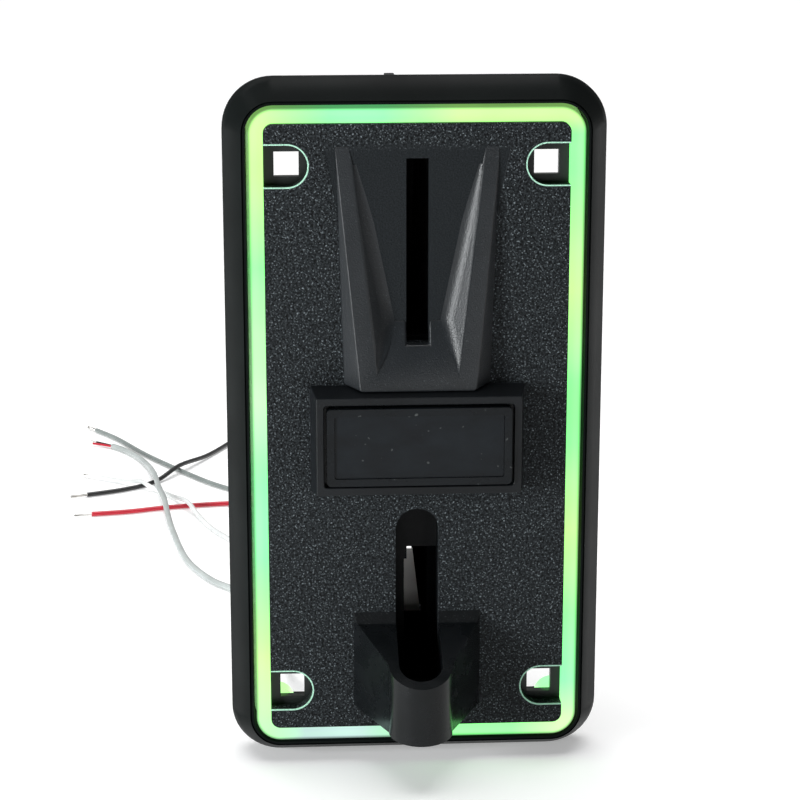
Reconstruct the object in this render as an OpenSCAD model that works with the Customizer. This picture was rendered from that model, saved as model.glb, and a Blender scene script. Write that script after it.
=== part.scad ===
// Panel-mounted coin acceptor: lit bezel front with a coin slot, a reject button and a return cup,
// and the coin mechanism behind it. The base of the bezel stands at z = 0 and the front faces -Y.
// Depths along Y are counted from the front of the face plate, positive towards the rear.

/* [Bezel] */
// Width of the bezel
bezel_w = 71.6; // [70:0.2:76]
// Height of the bezel
bezel_h = 132.6; // [131:0.2:138]
// Outer corner radius of the bezel
bezel_r = 9.5; // [8:0.1:9.8]
// Depth at which the bezel wall ends
bezel_back = 10.3; // [9.8:0.1:11]
// Depth of the bezel's lip behind the face plate
lip_front = 1.0; // [0.6:0.1:1.6]

/* [Light ring] */
// Visible width of the light guide
guide_band = 2.75; // [2:0.05:3.2]
// Margin of the light guide inside the bezel's outline
guide_margin = 4.8; // [4.4:0.1:5.4]
// Depth of the light guide's rear face
guide_back = 8.0; // [6:0.1:8.2]
// LEDs along each long side
side_leds = 12; // [6:1:16]
// LEDs along each short side
end_leds = 5; // [3:1:7]

/* [Face plate] */
// Thickness of the face plate
plate_t = 2.2; // [1.8:0.1:2.4]
// Corner radius of the face plate
plate_r = 1.8; // [1:0.1:3]
// Width of the square bolt holes
bolt_hole = 4.6; // [4.2:0.1:5]
// Spacing of the bolt holes across the plate
bolt_dx = 48; // [46:0.5:48.5]
// Spacing of the bolt holes up the plate
bolt_dz = 102; // [96:0.5:104]
// Radius of the D-shaped pocket round each bolt hole
pocket_r = 3.85; // [3.6:0.05:4.1]

/* [Coin entry] */
// Width of the coin slot
slot_w = 4.2; // [3:0.1:4.4]
// Lower end of the coin slot
slot_low = 84.0; // [83:0.5:88]
// Upper end of the coin slot
slot_high = 118.6; // [112:0.2:118.8]
// Upper edge of the flared entry
entry_top = 121.1; // [120:0.1:122]
// Lower edge of the flared entry
entry_low = 75.6; // [75.4:0.1:77]
// How far the lower edge of the entry stands out
entry_out = 4.0; // [3:0.1:5]

/* [Reject button] */
// Width of the button
button_w = 34.4; // [30:0.2:34.6]
// Height of the button
button_h = 14.8; // [12:0.2:15]
// Height of the button's centre
button_z = 65.65; // [65:0.05:66]
// How far the button stands out at rest
button_out = 6.8; // [6.4:0.1:7.5]
// Travel of the button
button_travel = 3.0; // [2:0.1:3]

/* [Return cup] */
// Width of the return slot
return_w = 8.2; // [6:0.2:8.4]
// Upper end of the return slot
return_top = 51.6; // [48:0.2:52]
// Reach of the cup in front of the plate
cup_reach = 17.5; // [14:0.5:20]
// Radius of the cup's nose
nose_r = 6.05; // [5.4:0.05:6.5]

/* [Mechanism] */
// Depth of the rear of the wire plug, the rearmost point
body_depth = 57.5; // [56:0.5:60]
// Diameter of the wires
wire_d = 1.2; // [1:0.1:1.4]
// Diameter of the light ring's two-core lead
lead_d = 1.5; // [1.2:0.1:1.6]

/* [Hidden] */
$fn = 48;
plate_y = (cup_reach - body_depth) / 2;
mid_z = bezel_h / 2;
ring_w = bezel_w - 2 * guide_margin;
ring_h = bezel_h - 2 * guide_margin;
plate_w = ring_w - 2 * guide_band - 0.1;
plate_h = ring_h - 2 * guide_band - 0.1;
lip_gap = 0.55;
lip_w = 0.4;
groove_w = 0.3;
groove_deep = 0.5;
crown_deep = 7.2;
board_front = 9.1;
frame_t = 2.0;
frame_back = bezel_back + frame_t;
pocket_deep = 3.0;
pocket_floor = 4.6;
flange_front = 5.0;
flange_back = 7.0;
coin_left = -2.1;
coin_right = 2.3;
wall_left = -4.6;
body_low = 14;
body_top = 121;
rear_front = 53.5;
rear_back = 56;
gate_x = 6.2;
gate_depth = 51.0;
gate_pin_r = 1.0;
flap_depth = 24;
flap_z = 22.5;
flap_rest = 12;
crank_rest = 15;
crank_len = 6;
shaft_r = 1.2;
coil_x = -10.2;
coil_depth = 18.1;
solenoid_low = 31;
solenoid_high = 53;
plunger_r = 2.0;
running = 0.05;
frame_out = 6.0;
skirt_back = -button_travel - 0.1;
stem_x = 13;
return_low = 14.5;
sight_lip = -1.7;
lip_low = 40;
lip_high = 42.5;
flange_gap = 4.1;
entry_undercut = 0.5;
duct_wall = 1.2;
post_r = 2.2;
boss_outer_r = 2.3;
pilot_start = 1.2;
stem_hole_r = 1.3;
tail_window = [[4.5, 8.5], [-6, 6]];
boss_r = 3.6;
boss_spot = [27.2, 10.6];
pocket_wall = 1.2;
pcb_face = -17.6;
pcb_inner = -16;
screw_r = 0.8;
pilot_r = 0.85;
frame_screw_spots = concat(
    [for (sx = [-1, 1], z = [30, mid_z, bezel_h - 30]) [sx * (bezel_w / 2 - 2.2), z]],
    [for (sx = [-1, 1], z = [2.2, bezel_h - 2.2]) [sx * 15, z]]
);
plate_screw_spots = [for (sx = [-1, 1], z = [47, 86]) [sx * 22, z]];
chassis_screw_spots = [for (x = [-14, 11.5], z = [20, 48, 86, 114]) [x, z]];
post_spots = [for (d = [32, 49], z = [46, 100]) [d, z]];
coil_spots = [[14, 97], [27, 93]];
key_spots = [34, 40.5, 47];
key_z = 73;
knob_spots = [52, 61];

// Routes of the wires, from the plug or connector to the free end, on the floor behind the bezel.
black_route = [
    [-20.5, 37.5, 61.5], [-20.3, 47, 60.8], [-19.5, 59, 55], [-18, 71, 43], [-16, 82, 26],
    [-13.5, 93, 11], [-11, 106, 2.6], [-9, 121, 0.8], [-7, 140, 0.7], [-6, 165, 0.7],
    [-7, 190, 0.7], [-9, 212, 0.7], [-14, 228, 0.7], [-21, 234, 0.7], [-28, 230, 0.7],
    [-34, 219, 0.7], [-39, 206, 0.7], [-45, 193, 0.9], [-52, 180, 2.1], [-58, 170, 0.8],
    [-66, 163, 0.7], [-80, 157, 0.7]
];
red_route = [
    [-20.5, 37.5, 59], [-20.5, 46, 58.4], [-20.2, 56, 52], [-19.6, 66, 40], [-18.8, 75, 24],
    [-18, 84, 10], [-17, 95, 1.6], [-15, 108, 0.7], [-13, 122, 0.7], [-15, 136, 0.7],
    [-21, 146, 0.7], [-28, 148.5, 0.7], [-35, 149, 0.7], [-45, 148, 0.7], [-55, 146, 0.7],
    [-65, 143, 0.7], [-78, 141, 0.7]
];
grey_route = [
    [-20.5, 37.5, 56.5], [-20.6, 46, 55.9], [-20.9, 55, 50], [-21, 63, 38], [-21, 71, 22],
    [-21, 79, 8], [-21, 89, 1.6], [-21, 101, 0.8], [-20.5, 115, 0.7], [-21, 128, 0.7],
    [-23.5, 139, 1], [-27, 148, 2.2], [-31, 154.5, 1], [-35, 158.5, 0.7], [-43, 167, 0.7],
    [-52, 180, 0.7], [-62, 196, 0.7], [-71, 213, 0.7], [-80, 226, 0.7]
];
white_route = [
    [-20.5, 37.5, 54], [-20.7, 45, 53.3], [-21.2, 53, 48], [-22, 60, 36], [-23, 67, 20],
    [-24, 75, 7], [-26, 84, 1.4], [-29, 96, 0.8], [-35, 113, 0.7], [-42, 127, 0.7],
    [-46, 138, 1], [-49, 146, 2.2], [-53, 155, 0.9], [-57, 161, 0.7], [-60, 163.5, 1.6],
    [-62, 165.5, 2.1], [-66, 169, 1], [-70, 172, 0.7], [-78, 177, 0.7]
];
lead_route = [
    [-21, -4.7, 36], [-21, -1, 35.6], [-21.2, 4, 32], [-22, 9, 24], [-23, 15, 13],
    [-24, 23, 4.6], [-25, 33, 1.4], [-26, 45, 0.9], [-27, 58, 0.8], [-30, 70, 0.8],
    [-36, 80, 0.8], [-42, 88, 0.8], [-48, 103, 0.8], [-52, 125, 0.9], [-54, 139, 1.8],
    [-55, 148, 2.4], [-57, 160, 2.3], [-58.5, 171, 2.3], [-61, 184, 1.2], [-65, 195, 0.9],
    [-71, 204, 0.8], [-79, 210, 0.8]
];

// ---- Shared shapes ----

// Moves a shape drawn in plate depths into the part's frame.
module placed() {
    translate([0, plate_y, 0]) children();
}

// Box between two limits on each axis: x, depth, z.
module block(x, d, z) {
    translate([x[0], d[0], z[0]]) cube([x[1] - x[0], d[1] - d[0], z[1] - z[0]]);
}

// Round bar along the depth, from d[0] to d[1], at a spot [x, z].
module bar_d(r, d, spot) {
    translate([spot[0], d[0], spot[1]]) rotate([-90, 0, 0]) cylinder(r = r, h = d[1] - d[0]);
}

// Round bar along X, from x[0] to x[1], at a spot [depth, z].
module bar_x(r, x, spot) {
    translate([x[0], spot[0], spot[1]]) rotate([0, 90, 0]) cylinder(r = r, h = x[1] - x[0]);
}

module rounded_rect(w, h, r) {
    square([w - 2 * r, h], center = true);
    square([w, h - 2 * r], center = true);
    for (sx = [-1, 1], sy = [-1, 1])
        translate([sx * (w / 2 - r), sy * (h / 2 - r)]) circle(r);
}

// Upright rounded plate between two depths, centred at x, z.
module slab(w, h, r, d, x = 0, z = mid_z) {
    translate([x, d[1], z])
        rotate([90, 0, 0])
            linear_extrude(d[1] - d[0]) rounded_rect(w, h, r);
}

// Outline drawn in [depth, z], extruded along X between two limits.
module side_shape(x, points) {
    translate([x[0], 0, 0])
        rotate([90, 0, 90])
            linear_extrude(x[1] - x[0]) polygon(points);
}

// Outline drawn in [x, depth], extruded up between two heights.
module top_shape(z, points) {
    translate([0, 0, z[0]]) linear_extrude(z[1] - z[0]) polygon(points);
}

// Cross-headed screw along the depth: seat is the depth under its head, tip is its far end.
module screw_d(spot, seat, tip, head_r = 1.6, head_t = 1.0) {
    difference() {
        union() {
            bar_d(screw_r, [tip, seat], spot);
            bar_d(head_r, [seat, seat + head_t], spot);
        }
        for (turn = [0, 90])
            translate([spot[0], seat + head_t, spot[1]])
                rotate([0, turn, 0]) cube([head_r * 1.3, 1, 0.4], center = true);
    }
}

// Close-wound spring drawn as rings along Z.
module rings(r, wire_r, length, turns) {
    for (i = [0 : turns - 1])
        translate([0, 0, wire_r + i * (length - 2 * wire_r) / (turns - 1)])
            rotate_extrude($fn = 32) translate([r, 0]) circle(wire_r, $fn = 16);
}

// ---- Bezel and light ring ----

// Section of the bezel: x runs outwards from the corner centre, y is the depth.
module bezel_section() {
    inner = bezel_r - guide_margin + lip_gap;
    groove = inner + lip_w;
    crown = groove + groove_w;
    polygon([
        [inner, bezel_back], [inner, lip_front], [groove, lip_front],
        [groove, lip_front + groove_deep], [crown, lip_front + groove_deep],
        [crown, lip_front], [bezel_r, lip_front + crown_deep], [bezel_r, bezel_back]
    ]);
}

module bezel_quarter() {
    cx = bezel_w / 2 - bezel_r;
    cz = bezel_h / 2 - bezel_r;
    translate([cx, 0, -cz])
        rotate([-90, 0, 0])
            rotate_extrude(angle = 90) bezel_section();
    translate([cx, 0, -cz]) linear_extrude(cz) bezel_section();
    translate([0, 0, -cz]) rotate([0, 90, 0]) linear_extrude(cx) bezel_section();
}

module bezel_frame() {
    color([0.05, 0.05, 0.055]) placed() difference() {
        translate([0, 0, mid_z])
            for (mx = [0, 1], mz = [0, 1])
                mirror([mx, 0, 0]) mirror([0, 0, mz]) bezel_quarter();
        for (spot = frame_screw_spots) bar_d(pilot_r, [6.8, bezel_back + 1], spot);
    }
}

module light_guide() {
    color([0.55, 0.95, 0.5]) placed() {
        difference() {
            slab(ring_w, ring_h, bezel_r - guide_margin, [lip_front, guide_back]);
            slab(plate_w + 0.1, plate_h + 0.1, plate_r + 0.05, [lip_front - 1, guide_back + 1]);
        }
        intersection() {
            for (sx = [-1, 1])
                bar_d(boss_r, [flange_front, guide_back], [sx * boss_spot[0], boss_spot[1]]);
            slab(ring_w, ring_h, bezel_r - guide_margin, [0, board_front]);
        }
    }
}

module led_board() {
    color([0.9, 0.92, 0.9]) placed() difference() {
        slab(ring_w + 0.8, ring_h + 0.8, 5, [board_front, bezel_back]);
        difference() {
            slab(55.6, ring_h - 6.4, 1.5, [board_front - 1, bezel_back + 1]);
            block([-28, -18.4], [board_front - 2, bezel_back + 2], [32.5, 39.5]);
        }
    }
}

module ring_leds() {
    side_step = (ring_h - 14) / (side_leds - 1);
    end_step = (ring_w - 14) / (end_leds - 1);
    cx = ring_w / 2 - 1.4;
    cz = ring_h / 2 - 1.4;
    color([1, 1, 0.85]) placed() translate([0, 8.65, mid_z]) {
        for (sx = [-1, 1], i = [0 : side_leds - 1])
            translate([sx * cx, 0, -ring_h / 2 + 7 + i * side_step])
                cube([2.2, 0.9, 2.8], center = true);
        for (sz = [-1, 1], i = [0 : end_leds - 1])
            translate([-ring_w / 2 + 7 + i * end_step, 0, sz * cz])
                cube([2.8, 0.9, 2.2], center = true);
    }
}

// Two-pin connector on the rear of the light ring's board.
module led_connector() {
    color("white") placed() difference() {
        block([-23.4, -18.6], [bezel_back, 15.3], [33, 39]);
        block([-22.6, -19.4], [14.3, 16], [37.4, 38.3]);
    }
}

// ---- Face plate ----

// Half-width between the scoop's slanting walls at a depth and height.
function scoop_half(d, z) = 12.35 - 1.065 * d + 0.2077 * (z - entry_top);

// Height of the ramp at the scoop's foot at a depth.
function ramp_z(d) = 88.5 + 2.466 * d;

// Wedge of the flared entry: flush at the top, standing out at the bottom.
module entry_body() {
    polyhedron(
        points = [
            [-15.15, 0, entry_top], [15.15, 0, entry_top],
            [-13.8, 0, entry_low + entry_undercut], [13.8, 0, entry_low + entry_undercut],
            [-10.75, -entry_out, entry_low], [10.75, -entry_out, entry_low]
        ],
        faces = [[0, 1, 5, 4], [4, 5, 3, 2], [0, 4, 2], [1, 3, 5], [0, 2, 3, 1]]
    );
}

// Scoop that guides the coin into the slot: slanting walls and a ramp at the foot.
module entry_scoop() {
    top = entry_top + 1;
    points = [for (d = [1, -8]) each [
        [-scoop_half(d, ramp_z(d)), d, ramp_z(d)], [scoop_half(d, ramp_z(d)), d, ramp_z(d)],
        [scoop_half(d, top), d, top], [-scoop_half(d, top), d, top]
    ]];
    polyhedron(
        points = points,
        faces = [
            [0, 1, 2, 3], [7, 6, 5, 4], [4, 5, 1, 0], [5, 6, 2, 1], [6, 7, 3, 2], [7, 4, 0, 3]
        ]
    );
}

// D-shaped outline of a bolt pocket on the right side, grown by an amount.
module pocket_outline(grow) {
    circle(pocket_r + grow);
    translate([0, -pocket_r - grow])
        square([plate_w / 2 - bolt_dx / 2 + (grow > 0 ? 0 : 1), 2 * (pocket_r + grow)]);
}

// Places a [x, z] outline at the four bolt holes, mirrored so that it opens to the plate's side.
module at_bolts(d) {
    for (mx = [0, 1], sz = [-1, 1])
        mirror([mx, 0, 0])
            translate([bolt_dx / 2, d[1], mid_z + sz * bolt_dz / 2])
                rotate([90, 0, 0]) linear_extrude(d[1] - d[0]) children();
}

module coin_slot(d) {
    block([-slot_w / 2, slot_w / 2], d, [slot_low, slot_high]);
}

module return_slot(d) {
    r = return_w / 2;
    block([-r, r], d, [return_low, return_top - r]);
    bar_d(r, d, [0, return_top - r]);
}

module face_plate() {
    color([0.12, 0.12, 0.125]) placed() difference() {
        slab(plate_w, plate_h, plate_r, [0, plate_t]);
        at_bolts([-1, plate_t + 1]) pocket_outline(0);
        coin_slot([-1, plate_t + 1]);
        return_slot([-1, plate_t + 1]);
        block(tail_window[0], [-1, plate_t + 1], [for (z = tail_window[1]) button_z + z]);
        for (sx = [-1, 1]) bar_d(stem_hole_r, [-1, plate_t + 1], [sx * stem_x, button_z]);
        for (spot = chassis_screw_spots) bar_d(pilot_r, [pilot_start, plate_t + 1], spot);
    }
}

// Floors and walls of the bolt pockets behind the plate.
module bolt_pockets() {
    reach = pocket_r + 2 * pocket_wall;
    color([0.12, 0.12, 0.125]) placed() difference() {
        at_bolts([plate_t, pocket_floor])
            intersection() {
                pocket_outline(pocket_wall);
                translate([-reach, -reach]) square([reach + (plate_w - bolt_dx) / 2, 2 * reach]);
            }
        at_bolts([plate_t - 1, pocket_deep]) pocket_outline(0);
        at_bolts([plate_t, pocket_floor + 1]) square(bolt_hole, center = true);
    }
}

module coin_entry() {
    color([0.12, 0.12, 0.125]) placed() difference() {
        entry_body();
        entry_scoop();
        coin_slot([-entry_out - 1, 1]);
    }
}

// Short ducts behind the plate that lead the coin from the slot and back to the return slot.
module coin_ducts() {
    half = return_w / 2 + duct_wall;
    color([0.12, 0.12, 0.125]) placed() difference() {
        union() {
            block(
                [-slot_w / 2 - duct_wall, slot_w / 2 + duct_wall], [plate_t, flange_front],
                [slot_low - duct_wall, slot_high + duct_wall]
            );
            block(
                [-half, half], [plate_t, flange_front],
                [return_low - duct_wall, return_top + duct_wall / 2]
            );
        }
        coin_slot([plate_t - 1, flange_front + 1]);
        return_slot([plate_t - 1, flange_front + 1]);
    }
}

// Screw posts moulded on the rear of the plate.
module plate_posts() {
    color([0.12, 0.12, 0.125]) placed() difference() {
        union() {
            for (spot = plate_screw_spots) bar_d(post_r, [plate_t, bezel_back], spot);
            for (spot = chassis_screw_spots) bar_d(boss_outer_r, [plate_t, flange_front], spot);
        }
        for (spot = plate_screw_spots) bar_d(pilot_r, [flange_front, bezel_back + 1], spot);
        for (spot = chassis_screw_spots) bar_d(pilot_r, [pilot_start, flange_front + 1], spot);
    }
}

// ---- Reject button ----

module button_frame() {
    zb = 10.35;
    zf = 9.35;
    xb = 20.1;
    xf = 19.1;
    color([0.06, 0.06, 0.065]) placed() translate([0, 0, button_z]) difference() {
        intersection() {
            side_shape([-xb, xb], [[0, -zb], [-frame_out, -zf], [-frame_out, zf], [0, zb]]);
            top_shape([-zb, zb], [[-xb, 0], [-xf, -frame_out], [xf, -frame_out], [xb, 0]]);
        }
        slab(button_w + 1.0, button_h + 0.9, 0.6, [-frame_out - 1, 1], 0, 0);
        slab(button_w + 2.2, button_h + 2.0, 0.6, [-4.4, 1], 0, 0);
    }
}

module reject_button() {
    color([0.05, 0.05, 0.05]) placed() translate([0, 0, button_z]) {
        difference() {
            union() {
                slab(button_w, button_h, 0.8, [-button_out, skirt_back], 0, 0);
                slab(button_w + 1.6, button_h + 1.4, 0.6, [-4.3, skirt_back], 0, 0);
            }
            slab(button_w - 2.8, button_h - 2.8, 0.4, [-button_out - 1, -5.9], 0, 0);
            slab(button_w - 2.8, button_h - 2.8, 0.4, [-5.0, 0], 0, 0);
        }
        for (sx = [-1, 1]) bar_d(1.25, [-5.2, 3.5], [sx * stem_x, 0]);
        top_shape([-5.2, 5.2], [[5, -5.2], [8, -5.2], [8, 8], [5, 11]]);
    }
}

module button_panel() {
    color([0.08, 0.08, 0.085]) placed()
        slab(button_w - 2.9, button_h - 2.9, 0.4, [-6.5, -5.9], 0, button_z);
}

module button_springs() {
    color("silver") placed()
        for (sx = [-1, 1])
            translate([sx * stem_x, -5, button_z]) rotate([-90, 0, 0]) rings(1.8, 0.22, 5, 7);
}

// ---- Return cup ----

module return_cup() {
    nose_d = nose_r - cup_reach;
    half = 12.15;
    color([0.05, 0.05, 0.055]) placed() difference() {
        intersection() {
            union() {
                top_shape([9, 33], [[-half, 0], [-nose_r, nose_d], [nose_r, nose_d], [half, 0]]);
                translate([0, nose_d, 9]) cylinder(r = nose_r, h = 24);
            }
            side_shape([-half, half], [
                [0, 12], [-18, 10.35], [-18, 21.6], [-1.3, 29.1], [0, 31]
            ]);
        }
        translate([0, 0, return_low]) {
            block([-return_w / 2, return_w / 2], [nose_d, 1], [0, 20]);
            translate([0, nose_d, 0]) cylinder(r = return_w / 2, h = 20);
        }
    }
}

// ---- Back frame and screws ----

module back_frame() {
    color([0.1, 0.1, 0.1]) placed() difference() {
        slab(bezel_w - 0.8, bezel_h - 0.8, bezel_r - 0.4, [bezel_back, frame_back]);
        slab(37.2, 112, 3, [bezel_back - 1, frame_back + 1]);
        at_bolts([bezel_back - 1, frame_back + 1])
            translate([0.2, -0.9]) rounded_rect(8, 8.4, 1);
        block([-24.4, -18], [bezel_back - 1, frame_back + 1], [31.5, 40.5]);
        for (spot = concat(frame_screw_spots, plate_screw_spots)) {
            bar_d(1.1, [bezel_back - 1, frame_back], spot);
            bar_d(1.75, [frame_back - 1, frame_back + 1], spot);
        }
    }
}

module frame_screws() {
    color("dimgray") placed()
        for (spot = frame_screw_spots) screw_d(spot, frame_back - 1, 7.2);
}

module plate_screws() {
    color("dimgray") placed()
        for (spot = plate_screw_spots) screw_d(spot, frame_back - 1, 5.4);
}

// ---- Chassis ----

module chassis() {
    color([0.16, 0.16, 0.17]) placed() difference() {
        union() {
            block([wall_left, coin_left], [flange_front, rear_front], [body_low, body_top]);
            block([-17.5, 14.5], [flange_front, flange_back], [79, body_top]);
            block([-17.5, 14.5], [flange_front, flange_back], [body_low, 52]);
            block([-16, 2.1], [flange_front, rear_back], [body_top - 2.5, body_top]);
            block([-16, coin_left], [flange_front, rear_back], [body_low, body_low + 2.5]);
            block([-16, 9], [rear_front, rear_back], [body_low, body_top]);
            side_shape([coin_left - 0.5, 1.9], [[6, 82.7], [6, 84], [21, 80.8], [21, 79.2]]);
            for (z = [[49, 52], [114, 117]]) block([3.4, 9], [48.5, rear_front + 1], z);
            for (spot = post_spots) bar_x(2.2, [pcb_inner, wall_left + 0.5], spot);
            side_shape([-4.1, -2.2], [[32, 120], [34, 129.2], [40, 129.2], [42, 120]]);
        }
        block([coin_left, coin_right], [flange_front - 1, flange_back + 1], [84, 119]);
        block([-flange_gap, flange_gap], [flange_front - 1, flange_back], [return_low, lip_low]);
        block([sight_lip, flange_gap], [flange_front - 1, flange_back], [lip_low - 1, lip_high]);
        block([coin_left - 0.2, coin_right + 0.2], [50, rear_back + 1], [body_low - 1, 58]);
        translate([gate_x, gate_depth, 0]) cylinder(r = gate_pin_r + 0.02, h = 200);
        bar_x(shaft_r + running, [-10, 0], [flap_depth, flap_z]);
        bar_x(1.3, [-5, 0], [37, 126]);
        for (spot = post_spots) bar_x(pilot_r, [-17, -8], spot);
        for (spot = chassis_screw_spots) bar_d(1.1, [flange_front - 1, flange_back + 1], spot);
        for (spot = coil_spots) bar_x(1, [-5, 0], spot);
    }
}

module chassis_screws() {
    color("dimgray") placed()
        for (spot = chassis_screw_spots) screw_d(spot, flange_back, 1.6, 1.9, 1.2);
}

// Sensing coil in a round core, its face at x[0] and its rear at x[1].
module core(x, spot) {
    difference() {
        bar_x(5.5, x, spot);
        bar_x(0.8, [min(x) - 1, max(x) + 1], spot);
    }
}

module chassis_coils() {
    color([0.28, 0.28, 0.3]) placed()
        for (spot = coil_spots) core([wall_left - 5, wall_left], spot);
}

module return_chute() {
    color([0.16, 0.16, 0.17]) placed() difference() {
        union() {
            block([coin_right, 4.8], [flange_back, rear_front], [body_low, 46.5]);
            side_shape([coin_left, coin_right + 0.5], [
                [flange_back, body_low], [flange_back, 20.3], [21.6, 23.4], [21.6, body_low]
            ]);
        }
        bar_x(shaft_r + running, [-3, 6], [flap_depth, flap_z]);
        bar_x(2.0, [coin_left - 1, coin_right], [flap_depth, flap_z]);
    }
}

// ---- Gate ----

module gate_pin() {
    color("silver") placed() translate([gate_x, gate_depth, 0]) {
        translate([0, 0, 47.5]) cylinder(r = gate_pin_r, h = 70.5);
        translate([0, 0, 117]) cylinder(r = 1.8, h = 1.3);
    }
}

module gate_spring() {
    color("silver") placed() {
        translate([gate_x, gate_depth, 104.6]) rings(1.7, 0.3, 9.2, 12);
        block([gate_x + 1.4, gate_x + 2], [gate_depth, rear_front], [113.1, 113.7]);
    }
}

module gate_plate() {
    tail_z = [button_z - 6.2, button_z + 6.2];
    color([0.2, 0.2, 0.21]) placed() difference() {
        union() {
            difference() {
                block([coin_right, 4.4], [8, 47.8], [47.2, 118]);
                block([0, 6], [7, 16], tail_z);
            }
            block([coin_right, gate_x], [46.5, gate_depth], [52.3, 104]);
            translate([gate_x, gate_depth, 52.3]) cylinder(r = 2.3, h = 51.7);
            for (z = [[tail_z[0] - 2, tail_z[0]], [tail_z[1], tail_z[1] + 2]])
                block([coin_right, 8.4], [9, 14], z);
            top_shape([tail_z[0] - 2, tail_z[1] + 2], [
                [8.25, 8.1], [10.5, 8.1], [10.5, 14], [6.2, 14], [5.35, 11]
            ]);
        }
        translate([gate_x, gate_depth, 40]) cylinder(r = gate_pin_r + running, h = 80);
        for (spot = coil_spots) bar_x(1, [0, 6], spot);
    }
}

module gate_coils() {
    color([0.28, 0.28, 0.3]) placed()
        for (spot = coil_spots) core([4.4, 9.4], spot);
}

// ---- Solenoid and diverter flap ----

module solenoid_frame() {
    x = [coil_x - 5.2, wall_left];
    color([0.75, 0.75, 0.78]) placed() difference() {
        union() {
            for (z = [[solenoid_low, solenoid_low + 1.2], [solenoid_high - 1.2, solenoid_high]])
                block(x, [coil_depth - 5, coil_depth + 5], z);
            block(
                [wall_left - 1.2, wall_left], [coil_depth - 5, coil_depth + 5],
                [solenoid_low, solenoid_high]
            );
        }
        translate([coil_x, coil_depth, solenoid_low - 1]) cylinder(r = plunger_r + 0.3, h = 3);
    }
}

module solenoid_coil() {
    color([0.72, 0.36, 0.16]) placed() translate([coil_x, coil_depth, solenoid_low + 1.2])
        difference() {
            union() {
                cylinder(r = 3.9, h = solenoid_high - solenoid_low - 2.4);
                for (z = [0, solenoid_high - solenoid_low - 3.4])
                    translate([0, 0, z]) cylinder(r = 4.3, h = 1);
            }
            translate([0, 0, -1]) cylinder(r = plunger_r + running, h = 17);
        }
}

module plunger() {
    pin_z0 = flap_z - crank_len * sin(crank_rest);
    color([0.7, 0.7, 0.72]) placed() difference() {
        union() {
            translate([coil_x, coil_depth, 23]) cylinder(r = plunger_r, h = 20);
            block(
                [coil_x - 2, coil_x + 2], [coil_depth - 2.8, coil_depth + 2.8], [18.2, 24.4]
            );
        }
        block(
            [coil_x - 3, coil_x + 3], [coil_depth - 1.3, coil_depth + 1.3],
            [pin_z0 - 0.95, pin_z0 + 0.95]
        );
    }
}

module plunger_spring() {
    color("silver") placed()
        translate([coil_x, coil_depth, 24.4]) rings(2.5, 0.25, solenoid_low - 24.4, 6);
}

module flap_shaft() {
    color("silver") placed() bar_x(shaft_r, [-8.2, 6], [flap_depth, flap_z]);
}

module flap_crank() {
    color([0.85, 0.85, 0.82]) placed() translate([0, flap_depth, flap_z])
        rotate([crank_rest, 0, 0]) difference() {
            union() {
                bar_x(2.2, [-7.4, -5.2], [0, 0]);
                block([-7.4, -5.2], [-crank_len, 0], [-1.2, 1.2]);
                bar_x(1.2, [-7.4, -5.2], [-crank_len, 0]);
                bar_x(0.8, [-12.6, -7], [-crank_len, 0]);
            }
            bar_x(shaft_r, [-8, -5], [0, 0]);
        }
}

module diverter_flap() {
    color([0.85, 0.85, 0.82]) placed() translate([0, flap_depth, flap_z])
        rotate([flap_rest, 0, 0]) difference() {
            union() {
                bar_x(1.7, [-1.8, 2], [0, 0]);
                block([-1.8, 2], [0, 22], [-0.6, 1.7]);
            }
            bar_x(shaft_r, [-3, 3], [0, 0]);
        }
}

module exit_sensor() {
    color([0.15, 0.15, 0.16]) placed() difference() {
        block([-9.6, wall_left], [44, 51], [28, 38]);
        block([-10, -7], [46.5, 48.5], [27, 39]);
    }
}

// ---- Control board ----

module control_board() {
    color([0.05, 0.3, 0.14]) placed() difference() {
        block([pcb_face, pcb_inner], [29, 52], [43, 103]);
        for (spot = post_spots) bar_x(1.1, [-18, -15], spot);
    }
}

module board_chips() {
    color([0.08, 0.08, 0.08]) placed() {
        block([pcb_inner, -14.6], [36, 46], [75, 85]);
        for (z = [55, 63]) block([pcb_inner, -14.6], [38, 43], [z, z + 4]);
    }
}

module capacitors() {
    color([0.1, 0.12, 0.25]) placed()
        for (z = [52, 60]) bar_x(2.5, [pcb_face - 7, pcb_face], [40.2, z]);
}

module digit_display() {
    color([0.1, 0.1, 0.1]) placed() difference() {
        block([-21.7, pcb_face], [32.5, 48.5], [82, 94]);
        for (d = [34, 39.2, 44.4])
            block([-22, -21.5], [d, d + 2.8], [84.5, 91.5]);
    }
}

module key_bodies() {
    color([0.12, 0.12, 0.12]) placed()
        for (d = key_spots)
            difference() {
                block([-21.1, pcb_face], [d - 2.9, d + 2.9], [key_z - 3, key_z + 3]);
                bar_x(1.75, [-22, -20.2], [d, key_z]);
            }
}

module setup_key(i) {
    color([0.85, 0.2, 0.15]) placed() bar_x(1.69, [-22.9, -20.7], [key_spots[i], key_z]);
}

module switch_bodies() {
    color([0.8, 0.8, 0.82]) placed()
        for (z = knob_spots)
            difference() {
                block([-21.1, pcb_face], [31, 35], [z - 4, z + 4]);
                block([-22, -19.8], [32.1, 33.9], [z - 2.1, z + 2.1]);
            }
}

module mode_knob(i) {
    z = knob_spots[i];
    color([0.1, 0.1, 0.1]) placed() block([-23, -20], [32.2, 33.8], [z - 2, z]);
}

module wire_header() {
    color("ivory") placed() difference() {
        block([-23.4, pcb_face], [44, 52], [51.4, 64.1]);
        block([-22.7, -18.3], [47, 53], [52.1, 63.4]);
    }
}

module harness_plug() {
    color("white") placed() block([-22.65, -18.35], [47, body_depth], [52.15, 63.35]);
}

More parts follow.
